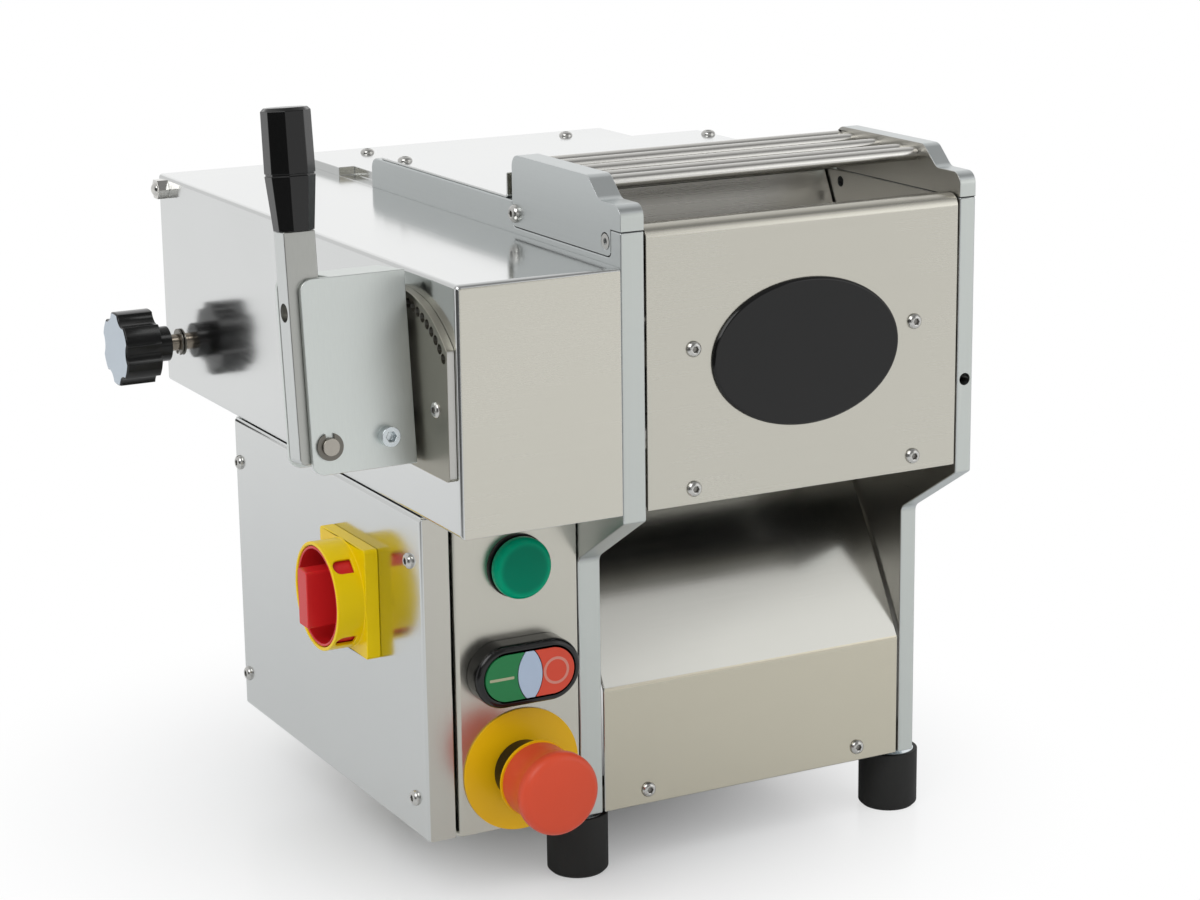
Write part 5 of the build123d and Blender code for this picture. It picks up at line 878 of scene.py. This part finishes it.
def screw_places(name):
    """Middle of the head's outer face, outward direction, radius and height of a node's screws."""
    shape = merged(name)
    places = []
    for screw in groups(shape.verts, lambda v: [e.other_vert(v) for e in v.link_edges]):
        spots = [vert.co.copy() for vert in screw]
        low, high = corners(spots)
        span, middle = high - low, (low + high) / 2
        axis = min(range(3), key=lambda i: abs(span[(i + 1) % 3] - span[(i + 2) % 3]))
        away = []
        for spot in spots:
            aside = spot - middle
            aside[axis] = 0.0
            away.append(aside.length)
        radius = max(away)
        wide = [p[axis] for p, r in zip(spots, away) if r > HEAD_EDGE * radius]
        narrow = [p[axis] for p, r in zip(spots, away) if r < SHANK_EDGE * radius]
        outward = 1.0 if sum(wide) / len(wide) > sum(narrow) / len(narrow) else -1.0
        at, towards = middle.copy(), Vector((0.0, 0.0, 0.0))
        at[axis] = high[axis] if outward > 0 else low[axis]
        towards[axis] = outward
        places.append((at, towards, radius, max(wide) - min(wide)))
    shape.free()
    return places


def verts_in(geometry):
    return [each for each in geometry if isinstance(each, bmesh.types.BMVert)]


def open_edges_in(geometry):
    return [each for each in geometry if isinstance(each, bmesh.types.BMEdge) and each.is_boundary]


def socket_head(profile, radius, height, key, depth):
    """Screw head whose outer face is at height 0, with a hexagon socket in the second material."""
    corner = key / math.sqrt(3)
    points = [(r * radius, h * height) for r, h in profile] + [(SOCKET_LIP * corner, 0.0)]
    shape = spun(points, HEAD_STEPS)
    top = -SOCKET_RIM * height
    rim = [e for e in open_edges_in(shape.edges) if all(v.co.z > top for v in e.verts)]
    grown = bmesh.ops.extrude_edge_only(shape, edges=rim)["geom"]
    for vert in verts_in(grown):
        turn = (math.atan2(vert.co.y, vert.co.x) % (math.pi / 3)) - math.pi / 6
        reach = key / 2 / math.cos(turn) / math.hypot(vert.co.x, vert.co.y)
        vert.co = Vector((vert.co.x * reach, vert.co.y * reach, -SOCKET_CHAMFER * height))
    sunk = bmesh.ops.extrude_edge_only(shape, edges=open_edges_in(grown))["geom"]
    bmesh.ops.translate(shape, vec=(0, 0, -depth), verts=verts_in(sunk))
    bmesh.ops.edgeloop_fill(shape, edges=open_edges_in(sunk))
    bmesh.ops.recalc_face_normals(shape, faces=shape.faces)
    for face in shape.faces:
        reach = max(math.hypot(v.co.x, v.co.y) for v in face.verts)
        face.material_index = int(reach < SOCKET_REACH * corner)
    return shape


# Operators, one for each group of pieces


class SHEETER_OT_sheets(bpy.types.Operator):
    """Folded stainless panels, covers and housings with rounded edges"""

    bl_idname = "sheeter.sheets"
    bl_label = "Sheet metal"

    def execute(self, context):
        edge, rims = sizes().sheet_edge, sharp_rims()
        # Painted shade: the front panel's back faces and the hopper's back wall take the darker inner
        # sheet
        rounded(
            "front_panel", edge, (stainless(), painted_shade_inner_sheet()),
            pick=lambda face: int(face.normal.y > HALFWAY), **rims,
        )
        rounded("outlet_chute", edge, chute_sheet(), segments=4, shape=self.bowed(), **rims)
        rounded("hopper_back_wall", edge, painted_shade_inner_sheet(), **rims)
        rounded("back_panel", edge, stainless(), **rims)
        for name in ("gear_housing", "top_cover", "rear_cover"):
            rounded(name, edge, bright_cover(), **rims)
        rounded("side_cover", edge, lid_sheet(), **rims)
        rounded("control_box", edge, upright_sheet(), **rims)
        self.hem(edge)
        self.lip(edge)
        return {"FINISHED"}

    def bowed(self):
        """Outlet chute whose slope rises a little at its middle, as thin sheet does."""
        shape = merged("outlet_chute")
        shape.normal_update()
        sloping = [f for f in shape.faces if f.normal.y < -LEANING and f.normal.z > LEANING]
        slope = max(sloping, key=lambda face: face.calc_area())
        out = slope.normal.copy()
        upward = out.cross(ACROSS)
        reach = [vert.co.dot(upward) for vert in slope.verts]
        low, span = min(reach), max(reach) - min(reach)
        for step in range(1, BOW_STEPS):
            bmesh.ops.bisect_plane(
                shape, geom=shape.verts[:] + shape.edges[:] + shape.faces[:], dist=MERGE,
                plane_co=(low + span * step / BOW_STEPS) * upward, plane_no=upward,
            )
        for vert in shape.verts:
            part = (vert.co.dot(upward) - low) / span
            if 0.0 < part < 1.0:
                vert.co += 4.0 * part * (1.0 - part) * sizes().chute_bow * out
        shape.normal_update()
        return shape

    def hem(self, edge):
        """Folded edge on top of the side cover, just under the housing."""
        low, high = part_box("side_cover")
        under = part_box("gear_housing")[0].z
        start = Vector((low.x, low.y, high.z)) + HEM_START
        end = Vector((high.x, high.y, under)) + HEM_END
        self.strip("side_cover_hem", start, end, edge, lid_sheet(), "side_cover")

    def lip(self, edge):
        """Lip under the rear edge of the top cover, down to the rear cover's tongue."""
        low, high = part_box("top_cover")
        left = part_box("left_side_plate")[1].x + LIP_GAP
        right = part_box("right_side_plate")[0].x - LIP_GAP
        start = Vector((left, high.y - LIP_DEPTH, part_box("rear_cover")[1].z + LIP_GAP))
        end = Vector((right, high.y, low.z + LIP_OVERLAP))
        self.strip("top_cover_lip", start, end, edge, bright_cover(), "top_cover")

    def strip(self, name, low, high, edge, material, carrier):
        """Straight strip of sheet between two corners."""
        shape = block(high - low)
        bmesh.ops.translate(shape, vec=(low + high) / 2, verts=shape.verts)
        bevel(shape, shape.edges[:], edge_of(name, edge), 2)
        finish(shape, name, body_of(carrier), material, (), slot_of(carrier))


class SHEETER_OT_plates(bpy.types.Operator):
    """Side plates, guard cheeks, guard rods and tie bars"""

    bl_idname = "sheeter.plates"
    bl_label = "Plates and guard"

    def execute(self, context):
        size, rims = sizes(), sharp_rims()
        metals = (plate_metal(), painted_shade_inner_plate(), seam_shade())
        for hand, side in ((1, "left"), (-1, "right")):
            rounded(
                side + "_side_plate", size.plate_edge, metals,
                pick=lambda face: self.plate_face(face, hand), **rims,
            )
            rounded(
                side + "_guard_cheek", size.plate_edge, metals,
                pick=lambda face: self.cheek_face(face, hand), **rims,
            )
        rounded("guard_rods", size.turned_edge, rod_steel(), **rims)
        rounded("tie_bars", size.turned_edge, painted_shade_tie_steel(), **rims)
        return {"FINISHED"}

    def plate_face(self, face, hand):
        """Painted shade on the faces turned to the inside."""
        return int(hand * face.normal.x > SQUARE)

    def cheek_face(self, face, hand):
        """Shaded under the joint with the plate, and otherwise as the plate."""
        return 2 if face.normal.z < -LEANING else self.plate_face(face, hand)


class SHEETER_OT_screws(bpy.types.Operator):
    """Button-head and pan-head screws with hexagon sockets"""

    bl_idname = "sheeter.screws"
    bl_label = "Screws"

    def execute(self, context):
        metals = (screw_steel(), socket_shade())
        for name in ("machine_screws", "cheek_screws", "tie_bar_screws"):
            heads = [self.head(*place) for place in screw_places(name)]
            gathered(name + "_heads", heads, body_of(name), metals, [name], slot_of(name))
        return {"FINISHED"}

    def head(self, at, towards, radius, height):
        """A head and its matrix: domed where the frame's is high, and flat where it is low."""
        size = sizes()
        slimmer, key, depth = size.head_radius * radius, size.button_key, size.socket_depth
        if height > BUTTON_LEAST:
            lower = size.head_height * height
            at = at - (height - lower) * towards
            shape = socket_head(BUTTON_HEAD, slimmer, lower, key, depth)
        else:
            shape = socket_head(PAN_HEAD, slimmer, height, PAN_KEY * key, PAN_DEPTH * depth)
        return shape, aimed(at, towards)


class SHEETER_OT_lever(bpy.types.Operator):
    """Thickness lever with its sector, bracket, bar, pins and handle"""

    bl_idname = "sheeter.lever"
    bl_label = "Thickness lever"

    def execute(self, context):
        size, tint, rims = sizes(), colours(), sharp_rims()
        rounded("sector_plate", size.sheet_edge, sector_steel(), **rims)
        rounded("lever_bracket", size.sheet_edge, bracket_steel(), **rims)
        # Painted light: faces turned to the left get the lighter bar side
        metals = (milled("Milled bar", tint.aluminium), milled("Milled bar side", tint.aluminium_painted_light_side))
        rounded(
            "lever_bar", size.plate_edge, metals,
            pick=lambda face: int(face.normal.x < -STEEP), shape=self.bar(), **rims,
        )
        rounded("lever_handle", size.moulded_edge, gloss_black(), segments=3, shape=self.grip())
        for name in ("pivot_pin", "index_pin"):
            rounded(name, size.turned_edge, pin_steel())
        rounded("pivot_clips", size.turned_edge, clip_steel())
        low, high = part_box("bracket_cap_screw")
        rounded(
            "bracket_cap_screw", size.turned_edge, (zinc(), socket_shade()),
            pick=lambda face: self.in_socket(face, low, (low + high) / 2),
        )
        rounded("eccentric_shaft", size.turned_edge, rod_steel())
        dress("lever_spring", bright_steel())
        return {"FINISHED"}

    def bar(self):
        """Lever bar with the index pin's hole widened at its outer face."""
        shape = merged("lever_bar")
        middle, mouth = middle_of("index_pin"), sizes().pin_mouth
        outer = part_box("lever_bar")[0].x + FACE_DEPTH
        for vert in shape.verts:
            away = Vector((0.0, vert.co.y - middle.y, vert.co.z - middle.z))
            if vert.co.x < outer and away.length < mouth:
                vert.co += (mouth - away.length) * away.normalized()
        shape.normal_update()
        return shape

    def grip(self):
        """Handle that is a little slimmer than its solid about the lever's own line."""
        shape = merged("lever_handle")
        ends = []
        for corner in corners(vert.co for vert in shape.verts):
            ring = [v.co for v in shape.verts if abs(v.co.z - corner.z) < GRIP_END]
            ends.append(sum(ring, Vector()) / len(ring))
        line = (ends[1] - ends[0]).normalized()
        for vert in shape.verts:
            foot = ends[0] + (vert.co - ends[0]).dot(line) * line
            vert.co = foot + sizes().grip_share * (vert.co - foot)
        shape.normal_update()
        return shape

    def in_socket(self, face, low, middle):
        """Whether a face lies in the cap screw's hexagon."""
        spot = face.calc_center_median()
        near = math.hypot(spot.y - middle.y, spot.z - middle.z) < CAP_SOCKET_RADIUS
        return int(near and CAP_SOCKET_START < spot.x - low.x < CAP_SOCKET_END)


class SHEETER_OT_adjuster(bpy.types.Operator):
    """Hand knob with its pale front, the adjuster's shaft, and the cap nut"""

    bl_idname = "sheeter.adjuster"
    bl_label = "Adjuster"

    def execute(self, context):
        size = sizes()
        front = moulded("Knob face", colours().knob_face, rough=0.30, tone=0.12)
        rounded(
            "star_knob", size.moulded_edge, (gloss_black(), front), segments=3,
            pick=lambda face: int(face.normal.x < -SQUARE), clamp=False,
        )
        rounded("adjuster_shaft", size.turned_edge, shaft_steel())
        rounded("adjuster_rings", size.turned_edge, clip_steel())
        rounded("cap_nut", size.turned_edge, nut_steel())
        return {"FINISHED"}


class SHEETER_OT_controls(bpy.types.Operator):
    """Pilot light, twin push button and emergency stop"""

    bl_idname = "sheeter.controls"
    bl_label = "Control panel"

    def execute(self, context):
        size, tint = sizes(), colours()
        edge = size.moulded_edge
        for name in ("pilot_bezel", "estop_collar", "estop_stem"):
            rounded(name, edge, satin_black())
        rounded("button_bezel", edge, gloss_black(), segments=3)
        rounded("pilot_lens", edge, pilot_glass(), segments=6)
        rounded("start_button", edge, gloss("Start green", tint.start, rough=0.30))
        rounded("stop_button", edge, gloss("Stop red", tint.stop, rough=0.30))
        rounded("button_lens", edge, gloss("Centre lens", tint.lens, rough=0.28))
        rounded("estop_legend", edge, legend_yellow())
        rounded("estop_head", edge, emergency_red(), segments=4)
        self.start_mark(size)
        self.stop_mark(size)
        self.band(size)
        return {"FINISHED"}

    def start_mark(self, size):
        """Bar on the start button."""
        ink = moulded("Start mark", colours().start_mark, rough=0.40, tone=0.10)
        bar = block((size.mark_length, 2 * size.mark_rise, size.mark_width))
        upright = [e for e in bar.edges if abs(e.verts[0].co.y - e.verts[1].co.y) > size.mark_rise]
        bevel(bar, upright, MARK_CORNER * size.mark_width, 3)
        low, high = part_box("start_button")
        at = Matrix.Translation((low.x + START_MARK_IN, low.y, (low.z + high.z) / 2))
        gathered("start_mark", [(bar, at)], body_of("start_button"), ink, (), "start_green")

    def stop_mark(self, size):
        """Ring on the stop button."""
        ink = moulded("Stop mark", colours().stop_mark, rough=0.40, tone=0.10)
        top, half = size.mark_rise, size.mark_width / 2
        inner, outer = size.mark_ring - half, size.mark_ring + half
        ring = spun([(inner, -top), (inner, top), (outer, top), (outer, -top)], RING_STEPS)
        low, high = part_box("stop_button")
        at = aimed(Vector((high.x - STOP_MARK_IN, low.y, (low.z + high.z) / 2)), FRONT)
        gathered("stop_mark", [(ring, at)], body_of("stop_button"), ink, (), "stop_red")

    def band(self, size):
        """Yellow band round the back of the emergency stop's head."""
        inner, outer, width = BAND_INNER, BAND_OUTER, size.band_width
        band = spun([(inner, 0.0), (outer, 0.0), (outer, width), (inner, width)], RING_STEPS)
        low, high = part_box("estop_head")
        at = aimed(Vector(((low.x + high.x) / 2, high.y + BAND_PROUD, (low.z + high.z) / 2)), FRONT)
        gathered("head_band", [(band, at)], body_of("estop_head"), legend_yellow(), (), "legend_yellow")


class SHEETER_OT_switch(bpy.types.Operator):
    """Main switch with its yellow shroud and red handle"""

    bl_idname = "sheeter.switch"
    bl_label = "Main switch"

    def execute(self, context):
        edge = sizes().moulded_edge
        yellow = gloss("Shroud yellow", colours().shroud, rough=0.22, specular=0.2)
        red = gloss("Handle red", colours().handle, rough=0.24)
        rounded("switch_shroud", edge, yellow, segments=3, clamp=False)
        rounded("switch_handle", edge, red, segments=3, clamp=False)
        dress("switch_body", satin_black())
        return {"FINISHED"}


class SHEETER_OT_feet(bpy.types.Operator):
    """Rubber feet and their zinc studs"""

    bl_idname = "sheeter.feet"
    bl_label = "Feet"

    def execute(self, context):
        rounded("feet", sizes().plate_edge, rubber(), segments=3, clamp=False)
        rounded("foot_studs", sizes().turned_edge, zinc())
        return {"FINISHED"}


class SHEETER_OT_badge(bpy.types.Operator):
    """Bare oval badge with a rounded rim"""

    bl_idname = "sheeter.badge"
    bl_label = "Badge"

    def execute(self, context):
        rounded("badge", sizes().moulded_edge, badge_resin(), segments=4, clamp=False)
        return {"FINISHED"}


class SHEETER_OT_works(bpy.types.Operator):
    """Rollers, gears, bushes and what lies inside the covers"""

    bl_idname = "sheeter.works"
    bl_label = "Rollers and drive"

    def execute(self, context):
        for name in ("front_roller", "rear_roller"):
            rounded(name, sizes().plate_edge, painted_shade_roller_steel())
        gears = ("front_roller_gear", "rear_roller_gear", "drive_gear", "idler_gear", "motor_pinion")
        for name in gears:
            dress(name, gear_steel())
        for name in ("plate_bushes", "front_roller_bushes"):
            dress(name, bronze())
        dress("idler_stud", bright_steel())
        dress("gearmotor", moulded("Motor paint", colours().paint, rough=0.42))
        dress("contact_blocks", satin_black())
        return {"FINISHED"}


class SHEETER_OT_studio(bpy.types.Operator):
    """Pale floor, soft lamps, white surroundings and the camera"""

    bl_idname = "sheeter.studio"
    bl_label = "Studio"

    def execute(self, context):
        scene = context.scene
        scene.view_settings.view_transform = "Standard"
        self.floor(scene)
        self.surroundings(scene)
        for name, (place, size, power) in LAMPS.items():
            self.lamp(scene, name, place, size, power)
        self.camera(scene)
        return {"FINISHED"}

    def floor(self, scene):
        """Floor that shows the shadow near the machine and turns white away from it."""
        shape = bmesh.new()
        bmesh.ops.create_grid(shape, x_segments=1, y_segments=1, size=sizes().floor_size / 2)
        mesh = bpy.data.meshes.new("floor")
        shape.to_mesh(mesh)
        shape.free()
        made = bpy.data.materials.new("Studio floor")
        made.use_nodes = True
        tree = made.node_tree
        shader = tree.nodes["Principled BSDF"]
        shader.inputs["Base Color"].default_value = (*colours().floor, 1.0)
        shader.inputs["Roughness"].default_value = FLOOR_ROUGH
        shader.inputs["Specular IOR Level"].default_value = FLOOR_SPECULAR
        path = tree.nodes.new("ShaderNodeLightPath").outputs
        where = tree.nodes.new("ShaderNodeTexCoord").outputs["Object"]
        distance = vector_node(tree, "LENGTH", where)
        dark = self.fade(tree, where, X=FLOOR_DARK_X, Y=FLOOR_DARK_Y)
        mirrored = math_node(tree, "MAXIMUM", rise(tree, distance, *FLOOR_MIRRORED), dark)
        amount = math_node(
            tree, "ADD",
            math_node(tree, "MULTIPLY", rise(tree, distance, *FLOOR_SEEN), path["Is Camera Ray"]),
            math_node(tree, "MULTIPLY", mirrored, path["Is Glossy Ray"]),
        )
        white = tree.nodes.new("ShaderNodeEmission")
        self.dim(tree, dark, path, white)
        self.mix_shaders(tree, amount, shader, white, tree.nodes["Material Output"])
        mesh.materials.append(made)
        floor = bpy.data.objects.new("floor", mesh)
        scene.collection.objects.link(floor)
        floor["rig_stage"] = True

    def surroundings(self, scene):
        """Even light for the object, and a white background that is duller in reflections."""
        world = bpy.data.worlds.new("Studio")
        scene.world = world
        world.use_nodes = True
        tree = world.node_tree
        light = tree.nodes["Background"]
        light.inputs["Color"].default_value = SKY_COLOUR
        light.inputs["Strength"].default_value = SKY_STRENGTH
        shown = tree.nodes.new("ShaderNodeBackground")
        shown.inputs["Color"].default_value = WHITE
        path = tree.nodes.new("ShaderNodeLightPath").outputs
        where = tree.nodes.new("ShaderNodeTexCoord").outputs["Generated"]
        dusk = self.fade(tree, where, Y=DUSK_Y, Z=DUSK_Z)
        darkest = math_node(tree, "MAXIMUM", dusk, self.fade(tree, where, X=BESIDE_X, Y=BESIDE_Y))
        duller = math_node(tree, "MULTIPLY_ADD", darkest, 1.0 - MIRROR_DULL, MIRROR_DULL)
        self.dim(tree, duller, path, shown)
        seen = math_node(tree, "MAXIMUM", path["Is Camera Ray"], path["Is Glossy Ray"])
        seen = math_node(tree, "MAXIMUM", seen, path["Is Transmission Ray"])
        self.mix_shaders(tree, seen, light, shown, tree.nodes["World Output"])

    def fade(self, tree, where, **fades):
        """Fade along two axes, each given with its start, end and most."""
        parts = parts_of(tree, where)
        risen = [rise(tree, parts[axis], *ends) for axis, ends in fades.items()]
        return math_node(tree, "MULTIPLY", *risen)

    def dim(self, tree, amount, path, shader):
        """Dims a shader by an amount where a reflection sees it."""
        dimmed = math_node(tree, "MULTIPLY", amount, path["Is Glossy Ray"])
        put(tree, shader.inputs["Strength"], math_node(tree, "SUBTRACT", 1.0, dimmed))

    def mix_shaders(self, tree, amount, first, second, output):
        mix = tree.nodes.new("ShaderNodeMixShader")
        put(tree, mix.inputs[0], amount)
        put(tree, mix.inputs[1], first.outputs[0])
        put(tree, mix.inputs[2], second.outputs[0])
        put(tree, output.inputs["Surface"], mix.outputs[0])

    def lamp(self, scene, name, place, size, power):
        data = bpy.data.lights.new(name, "AREA")
        data.energy = power
        data.shape = "RECTANGLE"
        data.size, data.size_y = size
        lamp = bpy.data.objects.new(name, data)
        aim = LAMP_AIM - Vector(place)
        turn = aim.to_track_quat("-Z", "Y").to_matrix().to_4x4()
        lamp.matrix_world = Matrix.Translation(place) @ turn
        scene.collection.objects.link(lamp)

    def camera(self, scene):
        yaw, pitch, roll = CAMERA_YAW, CAMERA_PITCH, CAMERA_ROLL
        level = math.cos(pitch)
        ahead = Vector((math.sin(yaw) * level, math.cos(yaw) * level, -math.sin(pitch)))
        right = Vector((math.cos(yaw), -math.sin(yaw), 0.0))
        up = right.cross(ahead)
        tilted = math.cos(roll) * right + math.sin(roll) * up
        raised = -math.sin(roll) * right + math.cos(roll) * up
        turn = Matrix((tilted, raised, -ahead)).transposed().to_4x4()
        data = bpy.data.cameras.new("Camera")
        data.sensor_fit = "HORIZONTAL"
        data.sensor_width = CAMERA_SENSOR
        data.lens = CAMERA_LENS
        camera = bpy.data.objects.new("Camera", data)
        camera.matrix_world = Matrix.Translation(CAMERA_PLACE) @ turn
        scene.collection.objects.link(camera)
        scene.camera = camera


STEPS = (
    SHEETER_OT_sheets,
    SHEETER_OT_plates,
    SHEETER_OT_screws,
    SHEETER_OT_lever,
    SHEETER_OT_adjuster,
    SHEETER_OT_controls,
    SHEETER_OT_switch,
    SHEETER_OT_feet,
    SHEETER_OT_badge,
    SHEETER_OT_works,
    SHEETER_OT_studio,
)


class SHEETER_PT_panel(bpy.types.Panel):
    """Lists the pieces, sizes and colours of the pasta sheeter"""

    bl_idname = "SHEETER_PT_panel"
    bl_label = "Pasta sheeter"
    bl_space_type = "VIEW_3D"
    bl_region_type = "UI"
    bl_category = "Sheeter"

    def draw(self, context):
        column = self.layout.column(align=True)
        for step in STEPS:
            column.operator(step.bl_idname)
        for group in (sizes(), colours()):
            box = self.layout.box()
            for key in group.__annotations__:
                box.prop(group, key)


CLASSES = (SheeterSizes, SheeterColours, *STEPS, SHEETER_PT_panel)


def register():
    for cls in CLASSES:
        bpy.utils.register_class(cls)
    bpy.types.Scene.sheeter_sizes = bpy.props.PointerProperty(type=SheeterSizes)
    bpy.types.Scene.sheeter_colours = bpy.props.PointerProperty(type=SheeterColours)


def unregister():
    del bpy.types.Scene.sheeter_sizes
    del bpy.types.Scene.sheeter_colours
    for cls in reversed(CLASSES):
        bpy.utils.unregister_class(cls)


def main():
    register()
    for step in STEPS:
        area, action = step.bl_idname.split(".")
        getattr(getattr(bpy.ops, area), action)()
    boxes = {"cad": CAD_BOX, "visual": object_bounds()}
    measured = {kind: [list(corner) for corner in box] for kind, box in boxes.items()}


if __name__ == "__main__":
    main()
